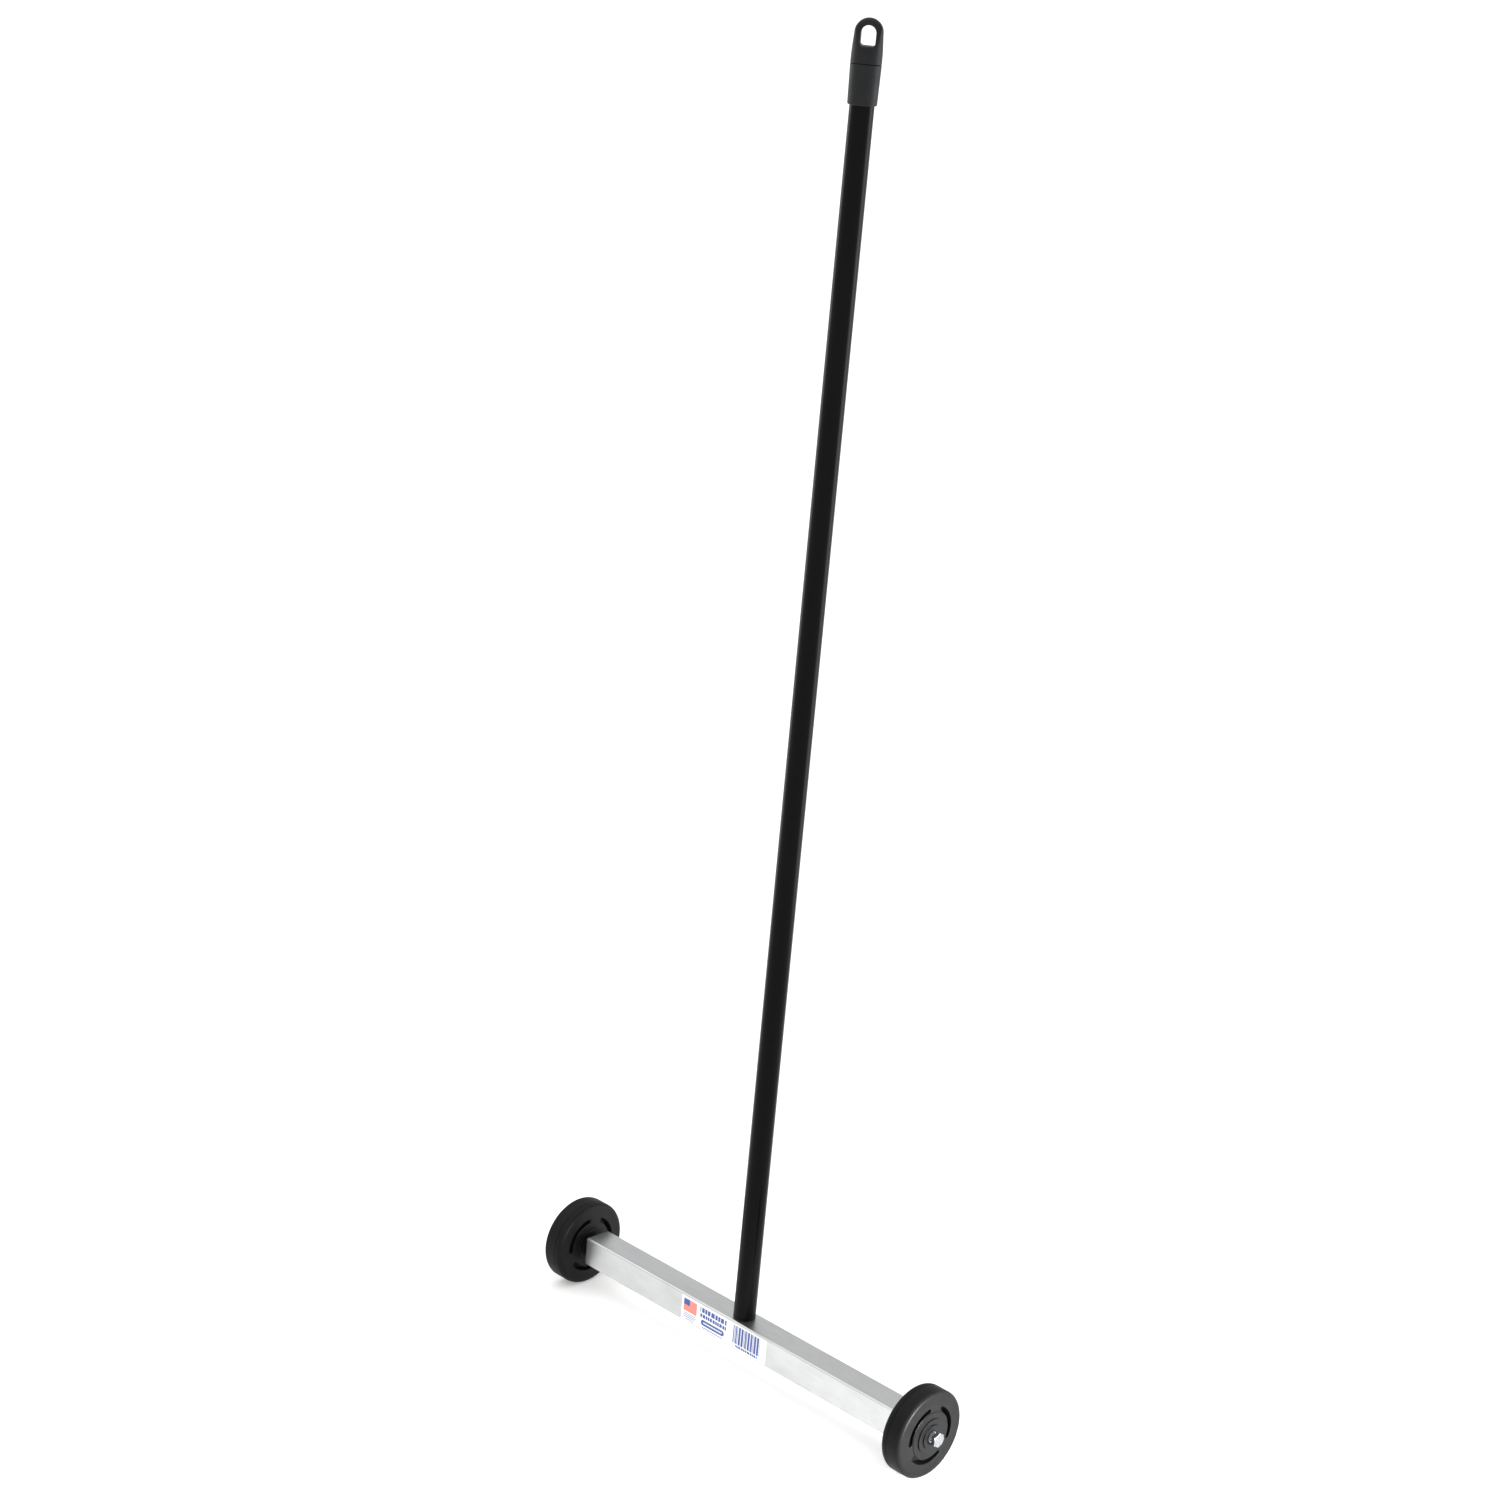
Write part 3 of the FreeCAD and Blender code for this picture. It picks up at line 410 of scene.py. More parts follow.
@dataclass(frozen=True)
class PrintedLabel:
    """A white film label printed in blue and salmon: a colour block, greeked lines, a pill and a bar code.

    Every place is in millimetres from the label's left end and lower edge, as the printer would have it.
    Nothing on it can be read: words are rows of short blocks, and the bars come from two sine waves.
    """

    left: float = -61.8
    lower: float = 26.3
    paper: str = "#FBFBFB"
    blue: str = "#2B4E9C"
    salmon: str = "#F28C7C"
    salmon_block: tuple[float, ...] = (2.4, 18.2, 9.0, 20.2)
    blue_block: tuple[float, ...] = (2.4, 9.6, 14.6, 20.2)
    bar_code: tuple[float, ...] = (62.6, 94.0, 4.4, 20.8)
    pill: tuple[float, ...] = (24.2, 52.0, 4.1, 9.1)
    pill_line: tuple[float, ...] = (27.0, 49.4, 5.9, 7.3, 1.5)
    lines: tuple[tuple[float, ...], ...] = (
        (3.2, 17.2, 6.6, 7.3, 0.9), (2.6, 18.0, 5.0, 5.7, 0.9), (3.4, 16.6, 3.4, 4.1, 0.9),
        (5.2, 15.6, 1.5, 2.2, 0.9), (22.4, 54.0, 15.6, 20.0, 4.0), (22.4, 54.0, 11.0, 14.2, 2.9),
        (26.4, 50.0, 1.6, 2.5, 1.1), (66.0, 92.0, 1.4, 3.4, 2.6))

    def block(self, tree: bpy.types.NodeTree, spot: bpy.types.NodeSocket, box: Sequence[float],
              rounding: float = 0.0) -> bpy.types.NodeSocket:
        """Ink a box: one where the distance from the box's core is within its rounding.

        The core is the box less its rounding on every side. The distance is the length of the part of the
        offset from the middle, taken positive, that is past the core's half size.

        Args:
            tree: The material's node tree.
            spot: Coordinates on the label, in millimetres.
            box: Left, right, lower and upper edges.
            rounding: Radius of the corners.

        Returns:
            One inside the box, and zero outside.
        """
        middle = (-(box[0] + box[1]) / 2, 0.0, -(box[2] + box[3]) / 2)
        hair = max(rounding, 0.001)
        half = ((box[1] - box[0]) / 2 - hair, 1e6, (box[3] - box[2]) / 2 - hair)
        centred = add(tree, "VectorMath", {0: spot, 1: middle}, operation="ADD")
        offset = add(tree, "VectorMath", {0: centred}, operation="ABSOLUTE")
        past = add(tree, "VectorMath", {0: offset, 1: half}, operation="SUBTRACT")
        outside = add(tree, "VectorMath", {0: past, 1: (0.0, 0.0, 0.0)}, operation="MAXIMUM")
        distance = add(tree, "VectorMath", {0: outside}, out=1, operation="LENGTH")
        return add(tree, "Math", {0: distance, 1: hair}, operation="LESS_THAN")

    def words(self, tree: bpy.types.NodeTree, spot: bpy.types.NodeSocket, line: Sequence[float],
              across: bpy.types.NodeSocket) -> bpy.types.NodeSocket:
        """Ink a greeked line: a box cut by gaps that come once a letter, early or late by a sine wave.

        Args:
            tree: The material's node tree.
            spot: Coordinates on the label, in millimetres.
            line: Left, right, lower and upper edges, and the width of a letter.
            across: The distance from the label's left end alone.

        Returns:
            One on the letters, and zero elsewhere.
        """
        letter = line[4]
        wave = add(tree, "Math", {0: across, 1: 1.7 / letter}, operation="MULTIPLY")
        late = add(tree, "Math", {0: wave}, operation="SINE")
        beat = add(tree, "Math", {0: across, 1: 1.0 / letter}, operation="MULTIPLY")
        uneven = add(tree, "Math", {0: late, 1: 0.16, 2: beat}, operation="MULTIPLY_ADD")
        share = add(tree, "Math", {0: uneven}, operation="FRACT")
        inked = add(tree, "Math", {0: share, 1: 0.78}, operation="LESS_THAN")
        box = self.block(tree, spot, line[:4])
        return add(tree, "Math", {0: box, 1: inked}, operation="MULTIPLY")

    def bars(self, tree: bpy.types.NodeTree, spot: bpy.types.NodeSocket,
             across: bpy.types.NodeSocket) -> bpy.types.NodeSocket:
        """Ink upright bars where two sine waves, 1.5 mm and 3.6 mm long, add up to more than a limit.

        Args:
            tree: The material's node tree.
            spot: Coordinates on the label, in millimetres.
            across: The distance from the label's left end alone.

        Returns:
            One on the bars, and zero elsewhere.
        """
        first = add(tree, "Math", {0: add(tree, "Math", {0: across, 1: 4.1}, operation="MULTIPLY")},
                    operation="SINE")
        second = add(tree, "Math", {0: add(tree, "Math", {0: across, 1: 1.73}, operation="MULTIPLY")},
                     operation="SINE")
        both = add(tree, "Math", {0: first, 1: second}, operation="ADD")
        inked = add(tree, "Math", {0: both, 1: -0.45}, operation="GREATER_THAN")
        return add(tree, "Math", {0: inked, 1: self.block(tree, spot, self.bar_code)}, operation="MULTIPLY")

    def build(self) -> bpy.types.Material:
        """Print the label.

        Returns:
            The material: glossy film with a faint texture under the print.
        """
        material, tree, place = start("printed_film_label")
        spot = add(tree, "Mapping", {"Vector": place, "Scale": (1000.0,) * 3,
                                     "Location": (-self.left, 0.0, -self.lower)})
        across = add(tree, "SeparateXYZ", {0: spot})
        pill = add(tree, "Math", {0: self.block(tree, spot, self.pill, 2.45),
                                  1: self.words(tree, spot, self.pill_line, across)}, operation="SUBTRACT")
        blue = add(tree, "Math", {0: self.block(tree, spot, self.blue_block), 1: pill}, operation="MAXIMUM")
        blue = add(tree, "Math", {0: blue, 1: self.bars(tree, spot, across)}, operation="MAXIMUM")
        for line in self.lines:
            blue = add(tree, "Math", {0: blue, 1: self.words(tree, spot, line, across)}, operation="MAXIMUM")
        ink = add(tree, "Mix", {0: self.block(tree, spot, self.salmon_block), 6: linear(self.paper),
                                7: linear(self.salmon)}, out=2, data_type="RGBA")
        colour = add(tree, "Mix", {0: blue, 6: ink, 7: linear(self.blue)}, out=2, data_type="RGBA")
        rough = add(tree, "MapRange", {0: patches(tree, place, (3 * MM,) * 3, 3.0, 0.6), 1: 0.3, 2: 0.7,
                                       3: 0.3, 4: 0.42})
        normal = add(tree, "Bump", {"Height": patches(tree, place, (0.5 * MM,) * 3), "Strength": 1.0,
                                    "Distance": 0.004 * MM})
        shade(tree, {"Base Color": colour, "Roughness": rough, "Coat Weight": 0.3, "Coat Roughness": 0.2,
                     "Normal": normal})
        return material


@dataclass(frozen=True)
class PaleFloor:
    """A matt pale studio floor lit a little from below, with a barely visible roller texture."""

    colour: str = "#F6F6F5"
    roller: str = "#F2F2F1"
    glow: float = 0.25

    def build(self) -> bpy.types.Material:
        """Lay patches of tone 40 mm across, too faint to draw the eye.

        Returns:
            The material.
        """
        material, tree, place = start("matt_studio_floor")
        tone = patches(tree, place, (40 * MM,) * 3)
        colour = add(tree, "Mix", {0: tone, 6: linear(self.colour), 7: linear(self.roller)}, out=2,
                     data_type="RGBA")
        shade(tree, {"Base Color": colour, "Roughness": 0.9, "Specular IOR Level": 0.1,
                     "Emission Color": (1.0, 1.0, 1.0, 1.0), "Emission Strength": self.glow})
        return material


# ---------------------------------------------------------------- meshes from arrays


def rounded_path(corners: Sequence[tuple[float, float, float]], steps: int = 6,
                 closed: bool = True) -> np.ndarray:
    """Round the corners of a path with arcs that are tangent to both of its sides.

    At a corner with unit directions a and b to its neighbours, the arc of radius r starts r / tan(half the
    angle between them) along each, and its points are the centre plus r times the directions between. A
    holding point stands a hair before and after each arc, so that the flats beside it stay flat to the eye.

    Args:
        corners: First coordinate, second coordinate and radius of each corner.
        steps: Segments in each arc.
        closed: Whether the path returns to its first corner.

    Returns:
        An array of points, shape (n, 2).
    """
    points = np.array([corner[:2] for corner in corners], float)
    radii = [corner[2] for corner in corners]
    count = len(points)
    path = []
    for i in range(count):
        here = points[i]
        at_end = not closed and i in (0, count - 1)
        if radii[i] <= 0 or at_end:
            path.append(here[None])
            continue
        to_last, to_next = points[i - 1] - here, points[(i + 1) % count] - here
        to_last, to_next = to_last / np.linalg.norm(to_last), to_next / np.linalg.norm(to_next)
        half = 0.5 * math.acos(float(np.clip(to_last @ to_next, -1.0, 1.0)))
        back = radii[i] / math.tan(half)
        middle = (to_last + to_next) / np.linalg.norm(to_last + to_next)
        centre = here + middle * radii[i] / math.sin(half)
        start, end = here + to_last * back - centre, here + to_next * back - centre
        sweep = math.acos(float(np.clip(start @ end / radii[i] ** 2, -1.0, 1.0)))
        share = np.linspace(0.0, 1.0, steps + 1)[:, None]
        arc = (np.sin((1 - share) * sweep) * start + np.sin(share * sweep) * end) / math.sin(sweep)
        hold = 0.04 * radii[i]
        path.append(np.vstack([here + to_last * (back + hold), centre + arc, here + to_next * (back + hold)]))
    return np.vstack(path)


def shell(name: str, grid: np.ndarray, wrap_rows: bool = True, wrap_columns: bool = True,
          sharp: float = 35.0) -> bpy.types.Object:
    """Make a closed mesh from a grid of points, with quads between neighbours.

    Points that fall together are merged, so a row at radius zero closes as a fan. The mesh's volume, the sum
    of the signed tetrahedra from the origin to each triangle, tells whether its faces point outwards, and
    they are turned round when it is negative.

    Args:
        name: The object's name.
        grid: Points in metres, shape (rows, columns, 3).
        wrap_rows: Whether the last row joins the first.
        wrap_columns: Whether the last column joins the first.
        sharp: Edges that bend more than so many degrees stay sharp.

    Returns:
        The new object, at the origin.
    """
    rows, columns = grid.shape[:2]
    i = np.arange(rows if wrap_rows else rows - 1)[:, None]
    j = np.arange(columns if wrap_columns else columns - 1)[None, :]
    k, m = (i + 1) % rows, (j + 1) % columns
    quads = np.stack([i * columns + j, k * columns + j, k * columns + m, i * columns + m], -1).reshape(-1, 4)
    mesh = bpy.data.meshes.new(name)
    mesh.from_pydata(grid.reshape(-1, 3), [], quads)
    return finish_shell(name, mesh, sharp)


def finish_shell(name: str, mesh: bpy.types.Mesh, sharp: float) -> bpy.types.Object:
    """Merge a mesh's double points, turn its faces outwards and link it as an object.

    Args:
        name: The object's name.
        mesh: The mesh, in metres and in place.
        sharp: Edges that bend more than so many degrees stay sharp.

    Returns:
        The new object.
    """
    work = bmesh.new()
    work.from_mesh(mesh)
    bmesh.ops.remove_doubles(work, verts=work.verts, dist=1e-7)
    bmesh.ops.dissolve_degenerate(work, edges=work.edges, dist=1e-8)
    if work.calc_volume(signed=True) < 0:
        bmesh.ops.reverse_faces(work, faces=work.faces)
    work.to_mesh(mesh)
    work.free()
    mesh.shade_smooth()
    mesh.set_sharp_from_angle(angle=math.radians(sharp))
    made = bpy.data.objects.new(name, mesh)
    bpy.context.scene.collection.objects.link(made)
    return made


def turned(name: str, profile: np.ndarray, columns: int = 96, axis: str = "Z",
           at: Sequence[float] = (0.0, 0.0, 0.0), flip: int = 1, closed: bool = True) -> bpy.types.Object:
    """Turn a profile round an axis: each point at radius r goes to (r cos t, r sin t) for t all round.

    Args:
        name: The object's name.
        profile: Distance along the axis and radius of each point, shape (n, 2).
        columns: Steps round the axis.
        axis: "Z" for an upright piece, "X" for one on a wheel's axle.
        at: A point on the axis that the distances start from.
        flip: Minus one to run the distances the other way.
        closed: Whether the profile is a closed loop. An open one starts and ends on the axis.

    Returns:
        The new object.
    """
    angle = np.linspace(0.0, 2.0 * np.pi, columns, endpoint=False)
    along = np.repeat(profile[:, :1] * flip, columns, 1)
    first, second = profile[:, 1:] * np.cos(angle), profile[:, 1:] * np.sin(angle)
    layers = [along, first, second] if axis == "X" else [first, second, along]
    return shell(name, np.stack(layers, -1) + np.array(at), wrap_rows=closed)


def join(name: str, parts: Sequence[bpy.types.Object]) -> bpy.types.Object:
    """Join finished pieces into one object that keeps each one's sharp edges.

    Args:
        name: The joined object's name.
        parts: Objects at the origin, which are used up.

    Returns:
        The joined object.
    """
    with bpy.context.temp_override(active_object=parts[0], selected_editable_objects=list(parts)):
        bpy.ops.object.join()
    parts[0].name = name
    return parts[0]


def dress(piece: bpy.types.Object, *finishes: bpy.types.Material) -> None:
    """Give a piece its materials.

    Args:
        piece: The piece to dress.
        *finishes: Its materials, in the order of its material slots.
    """
    piece.data.materials.clear()
    for finish in finishes:
        piece.data.materials.append(finish)


def settle(piece: bpy.types.Object, body: str, slot: str, *nodes: str) -> bpy.types.Object:
    """Attach a finished piece to the body that carries it, and hide the CAD nodes that it stands for.

    Args:
        piece: The finished piece.
        body: The body that it rides on.
        slot: The name of its material slot; not used.
        *nodes: The CAD nodes that it stands for.

    Returns:
        The piece.
    """
    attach(piece, body)
    if nodes:
        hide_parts(*nodes)
    log.info("%s: %d faces on %s", piece.name, len(piece.data.polygons), body)
    return piece


# ---------------------------------------------------------------- the bar


@dataclass
class MagnetBar:
    """The square tube with its cut ends, its label, and the magnets and steel inside it."""

    length: float = 368.3 * MM
    side: float = 25.4 * MM
    wall: float = 1.6 * MM
    corner: float = 1.5 * MM
    cut_edge: float = 0.5 * MM
    holding: float = 0.08 * MM
    bolt_hole: float = 4.37 * MM

    def section(self, depth: np.ndarray, steps: int = 8) -> np.ndarray:
        """Return the rounded square at each depth below the outside of the tube.

        The square's half side is less by the depth, and its corner radius is less by the depth too, down to
        a small inside radius.

        Args:
            depth: Depths below the outside, shape (n,).
            steps: Segments in each corner.

        Returns:
            Y and Z of the section's points, shape (n, 4 * (steps + 3), 2).
        """
        half = self.side / 2 - depth
        radius = np.maximum(self.corner - depth, 0.4 * MM)
        quarter = np.concatenate([[0.0], np.linspace(0.0, np.pi / 2, steps + 1), [np.pi / 2]])
        hold = np.zeros_like(quarter)
        hold[0], hold[-1] = -self.holding, self.holding
        angle = np.concatenate([quarter + k * np.pi / 2 for k in range(4)])
        signs = np.repeat(np.array([(1, 1), (-1, 1), (-1, -1), (1, -1)]), steps + 3, 0)
        centre = (half - radius)[:, None, None] * signs
        ray = np.stack([np.cos(angle), np.sin(angle)], -1)
        along = np.stack([-np.sin(angle), np.cos(angle)], -1) * np.tile(hold, 4)[:, None]
        return centre + radius[:, None, None] * ray + along

    def build_tube(self) -> bpy.types.Object:
        """Carry the rounded square along the bar, round each cut edge, and back along the inside.

        Returns:
            The tube, drilled for the pole's bolt.
        """
        end, edge = self.length / 2, self.cut_edge
        loop = rounded_path([(-end, 0.0, edge), (end, 0.0, edge), (end, self.wall, edge),
                             (-end, self.wall, edge)], steps=5)
        along, depth = loop[:, 0], loop[:, 1]
        flat = self.section(depth)
        grid = np.concatenate([np.broadcast_to(along[:, None, None], flat.shape[:2] + (1,)), flat], -1)
        tube = shell("bar_tube", grid + np.array([0.0, 0.0, AXLE_HEIGHT]), sharp=50.0)
        self.drill(tube)
        return tube

    def drill(self, tube: bpy.types.Object) -> None:
        """Cut the clearance hole for the pole's bolt in the tube's top wall.

        Args:
            tube: The tube, whose mesh is replaced by the drilled one.
        """
        low, high = AXLE_HEIGHT + self.side / 4, AXLE_HEIGHT + self.side
        profile = np.array([(low, 0.0), (low, self.bolt_hole), (high, self.bolt_hole), (high, 0.0)])
        drill = turned("bolt_hole_drill", profile, 48, closed=False)
        cut = tube.modifiers.new("bolt_hole", "BOOLEAN")
        cut.operation, cut.object, cut.solver = "DIFFERENCE", drill, "EXACT"
        bpy.context.view_layer.update()
        solid = bpy.data.meshes.new_from_object(tube.evaluated_get(bpy.context.evaluated_depsgraph_get()))
        tube.modifiers.clear()
        tube.data = solid
        tube.data.name = "bar_tube"
        solid.shade_smooth()
        solid.set_sharp_from_angle(angle=math.radians(50.0))
        bpy.data.objects.remove(drill)

    def mark_ends(self, tube: bpy.types.Object) -> None:
        """Give the second material to the faces of the two cut ends: those whose normals lie along X.

        Args:
            tube: The dressed tube.
        """
        count = len(tube.data.polygons)
        normals = np.empty(count * 3, np.float32)
        tube.data.polygons.foreach_get("normal", normals)
        at_end = np.abs(normals.reshape(-1, 3)[:, 0]) > 0.25
        tube.data.polygons.foreach_set("material_index", at_end.astype(np.int32))

    def build(self, steel: bpy.types.Material) -> None:
        """Make and dress the tube, the label and all that the tube hides.

        Args:
            steel: The zinc-plated steel of the bolt and washer inside.
        """
        tube = self.build_tube()
        dress(tube, ExtrudedAluminium().build(), SawnAluminium().build())
        self.mark_ends(tube)
        settle(tube, "frame", "aluminium_tube", "housing_tube")
        nodes = frame["nodes"]
        dress(nodes["product_label"], PrintedLabel().build())
        ferrite = SinteredFerrite().build()
        for name in sorted(nodes):
            if name.startswith("magnet_"):
                dress(nodes[name], ferrite)
        for name in ("backing_bar", "pole_bolt", "pole_bolt_washer", "pole_insert"):
            dress(nodes[name], steel)
        nylon = CastNylon().build()
        for side in Side:
            dress(nodes[f"end_plug_{side.label}"], nylon)


# ---------------------------------------------------------------- the pole and its cap


@dataclass
class Pole:
    """The pole: a thin steel tube with a rolled foot, standing on the middle of the bar."""

    radius: float = 9.525 * MM
    wall: float = 1.2 * MM
    foot: float = 50.2 * MM
    length: float = 1032.0 * MM
    foot_round: float = 0.8 * MM

    def build(self) -> None:
        """Turn the wall of the tube, its outside foot edge rolled and its top edge lightly broken."""
        top, bore = self.foot + self.length, self.radius - self.wall
        profile = rounded_path([(self.foot, bore, 0.2 * MM), (self.foot, self.radius, self.foot_round),
                                (top, self.radius, 0.2 * MM), (top, bore, 0.2 * MM)], steps=6)
        tube = turned("pole_enamelled", profile, 128)
        dress(tube, BlackEnamel().build())
        settle(tube, "frame", "black_gloss_paint", "pole_tube")


@dataclass
class PoleCap:
    """The plastic cap: a sleeve pushed on to the pole, and a hang loop that turns on top of it."""

    bore: float = 9.575 * MM
    low: float = 1055.2 * MM
    depth: float = 27.05 * MM
    web: float = 3.0 * MM
    wall_low: float = 1.65 * MM
    wall_high: float = 2.3 * MM
    rim: float = 1.2 * MM
    peg_hole: float = 4.1 * MM
    peg: float = 4.0 * MM
    lip: float = 1.4 * MM
    lip_height: float = 4.0 * MM
    seam: float = 0.3 * MM
    height: float = 33.2 * MM
    arch: float = 10.8 * MM
    shoulder: float = 8.0 * MM
    top_half: float = 3.5 * MM
    hole_half: float = 5.7 * MM
    hole_low: float = 12.7 * MM
    hole_top: float = 27.9 * MM
    hole_corner: float = 2.4 * MM
    turn: float = math.radians(40.0)
    ring_steps: int = 192
    face_steps: int = 34

    @property
    def base(self) -> float:
        """Radius of the sleeve and the loop where they meet."""
        return self.bore + self.wall_high

    @property
    def seam_height(self) -> float:
        """Height of the loop's underside above the floor."""
        return self.low + self.depth + self.web + self.seam

    def build_sleeve(self) -> bpy.types.Object:
        """Turn the sleeve: an outside that widens a little upwards, a deep bore and a web with a peg hole.

        Returns:
            The sleeve.
        """
        top, floor = self.low + self.depth + self.web, self.low + self.depth
        rim = min(self.rim, self.wall_low - 0.2 * MM)
        profile = rounded_path([
            (self.low, self.bore, 0.2 * MM), (self.low, self.bore + self.wall_low, rim),
            (top, self.base, 0.45 * MM), (top, self.peg_hole, 0.2 * MM), (floor, self.peg_hole, 0.2 * MM),
            (floor, self.bore, 0.0)], steps=7)
        return turned("cap_sleeve_moulded", profile, 128)

    def outline_radius(self, outline: np.ndarray, middle: float, angle: np.ndarray) -> np.ndarray:
        """Return how far an outline is from a point on its middle line, in each direction.

        Args:
            outline: A closed outline's points, seen from the front, shape (n, 2).
            middle: Height of the point that the directions start from.
            angle: Directions, in radians.

        Returns:
            The distance to the outline in each direction.
        """
        closed = np.vstack([outline, outline[:1]])
        share = np.linspace(0.0, 1.0, 40, endpoint=False)[None, :, None]
        dense = (closed[:-1, None] * (1 - share) + closed[1:, None] * share).reshape(-1, 2)
        dense = dense - np.array([0.0, middle])
        bearing = np.arctan2(dense[:, 1], dense[:, 0])
        order = np.argsort(bearing)
        reach = np.linalg.norm(dense, axis=1)[order]
        return np.interp(angle, bearing[order], reach, period=2.0 * np.pi)

    def half_depth(self, across: np.ndarray, height: np.ndarray) -> np.ndarray:
        """Return half the loop's depth at points of its front view.

        It is the smaller of two limits, blended where they cross: the chord of the round blank that the loop
        is cut from, and the distance of the faces that lean in above the shoulder.

        Args:
            across: Distance from the middle line.
            height: Height above the seam.

        Returns:
            Half the depth, in metres.
        """
        chord = np.sqrt(np.maximum(self.base ** 2 - across ** 2, 0.0))
        slope = (self.base - self.top_half) / (1.1 * self.height - self.shoulder)
        rise = height - self.shoulder
        soft = 0.5 * (rise + np.sqrt(rise ** 2 + (2.0 * MM) ** 2)) - 0.4 * MM
        lean = self.base - slope * np.maximum(soft, 0.0)
        power = 10.0
        floor = 1e-9
        return ((chord + floor) ** -power + (lean + floor) ** -power) ** (-1.0 / power)

    def build_loop(self) -> bpy.types.Object:
        """Make the loop as a ring round its hole, whose section swells from the hole to the outline.

        Each of the ring's sections runs across the solid from the hole's edge to the outline. Its half depth
        is the half depth of the solid there, less a quarter-round fillet near each end: within a radius r of
        an end, at distance d, it loses r minus the square root of r squared less (r - d) squared.

        Returns:
            The loop's object, with its peg.
        """
        middle = 20.0 * MM
        springing = self.height - self.arch
        arc = np.linspace(0.0, np.pi, 48)
        outer = np.vstack([np.array([(-self.base, 0.0), (self.base, 0.0), (self.base - 0.12 * MM, 9.0 * MM)]),
                           np.stack([self.arch * np.cos(arc), springing + self.arch * np.sin(arc)], -1),
                           np.array([(-self.base + 0.12 * MM, 9.0 * MM)])])
        hole_spring = self.hole_top - self.hole_half
        corners = rounded_path([(-self.hole_half, self.hole_low, self.hole_corner),
                                (self.hole_half, self.hole_low, self.hole_corner),
                                (self.hole_half, hole_spring, 0.0), (-self.hole_half, hole_spring, 0.0)], 8)
        side = corners[:, 1] < hole_spring - 1e-9
        hole = np.vstack([corners[side],
                          np.stack([self.hole_half * np.cos(arc), hole_spring + self.hole_half * np.sin(arc)],
                                   -1)])
        angle = np.linspace(-np.pi, np.pi, self.ring_steps, endpoint=False) + np.pi / self.ring_steps
        near = self.outline_radius(hole, middle, angle)
        far = self.outline_radius(outer, middle, angle)
        share = 0.5 - 0.5 * np.cos(np.linspace(0.0, np.pi, self.face_steps))
        reach = near[:, None] + (far - near)[:, None] * share
        across = reach * np.cos(angle)[:, None]
        height = middle + reach * np.sin(angle)[:, None]
        solid = self.half_depth(across, height)
        from_hole, from_edge = reach - near[:, None], far[:, None] - reach
        lift = np.clip((height[:, -1] - 0.5 * MM) / (3.0 * MM), 0.0, 1.0)
        edge_round = np.minimum(0.4 * MM + 1.7 * MM * lift, solid[:, -1])[:, None]
        hole_round = np.full_like(edge_round, 1.3 * MM)
        depth = solid - self.fillet(from_hole, hole_round) - self.fillet(from_edge, edge_round)
        depth = np.maximum(depth, 0.0)
        front = np.stack([across, -depth, height], -1)
        back = np.stack([across, depth, height], -1)[:, ::-1]
        wall = np.linspace(-1.0, 1.0, 7)[1:-1]
        outer_wall = self.wall_rows(across[:, -1], depth[:, -1], height[:, -1], wall)
        hole_wall = self.wall_rows(across[:, 0], depth[:, 0], height[:, 0], wall[::-1])
        grid = np.concatenate([front, outer_wall, back, hole_wall], 1)
        loop = shell("hang_loop_moulded", self.turned_up(grid), sharp=60.0)
        return join("hang_loop_moulded", [loop, self.build_peg()])

    def fillet(self, distance: np.ndarray, radius: np.ndarray) -> np.ndarray:
        """Return what a quarter-round fillet takes off at a distance from the edge that it rounds."""
        inside = np.clip(radius - distance, 0.0, None)
        return radius - np.sqrt(np.maximum(radius ** 2 - inside ** 2, 0.0))

    def wall_rows(self, across: np.ndarray, depth: np.ndarray, height: np.ndarray,
                  share: np.ndarray) -> np.ndarray:
        """Return the points that cross from the front face to the back at one end of each section."""
        rows = [across[:, None] + 0.0 * share, depth[:, None] * share, height[:, None] + 0.0 * share]
        return np.stack(rows, -1)

    def turned_up(self, grid: np.ndarray) -> np.ndarray:
        """Turn points about the pole's axis to the loop's rest angle and lift them to the seam.

        Args:
            grid: Points from the seam up, with the loop facing front, any shape ending in 3.

        Returns:
            The points in place.
        """
        cosine, sine = math.cos(self.turn), math.sin(self.turn)
        spin = np.array([(cosine, sine, 0.0), (-sine, cosine, 0.0), (0.0, 0.0, 1.0)])
        return grid @ spin + np.array([0.0, 0.0, self.seam_height])

    def build_peg(self) -> bpy.types.Object:
        """Turn the peg that snaps through the sleeve's web, with a lead-in on its lip.

        Returns:
            The peg.
        """
        neck = self.seam + self.web + 0.3 * MM
        lip = self.peg + self.lip
        profile = rounded_path([
            (2.0 * MM, 0.0, 0.0), (2.0 * MM, self.peg, 0.3 * MM), (-neck, self.peg, 0.3 * MM),
            (-neck, lip, 0.3 * MM), (-neck - self.lip_height, lip, 1.2 * MM),
            (-neck - self.lip_height, 0.0, 0.0)], steps=5, closed=False)
        return turned("peg", profile, 64, at=(0.0, 0.0, self.seam_height), closed=False)

    def build(self) -> None:
        """Make both mouldings in the same grey plastic."""
        plastic = MouldedPolypropylene().build()
        sleeve, loop = self.build_sleeve(), self.build_loop()
        dress(sleeve, plastic)
        dress(loop, plastic)
        settle(sleeve, "frame", "cap_plastic", "cap_sleeve")
        settle(loop, "loop", "cap_plastic", "hang_loop")


# ---------------------------------------------------------------- the wheels and their axles


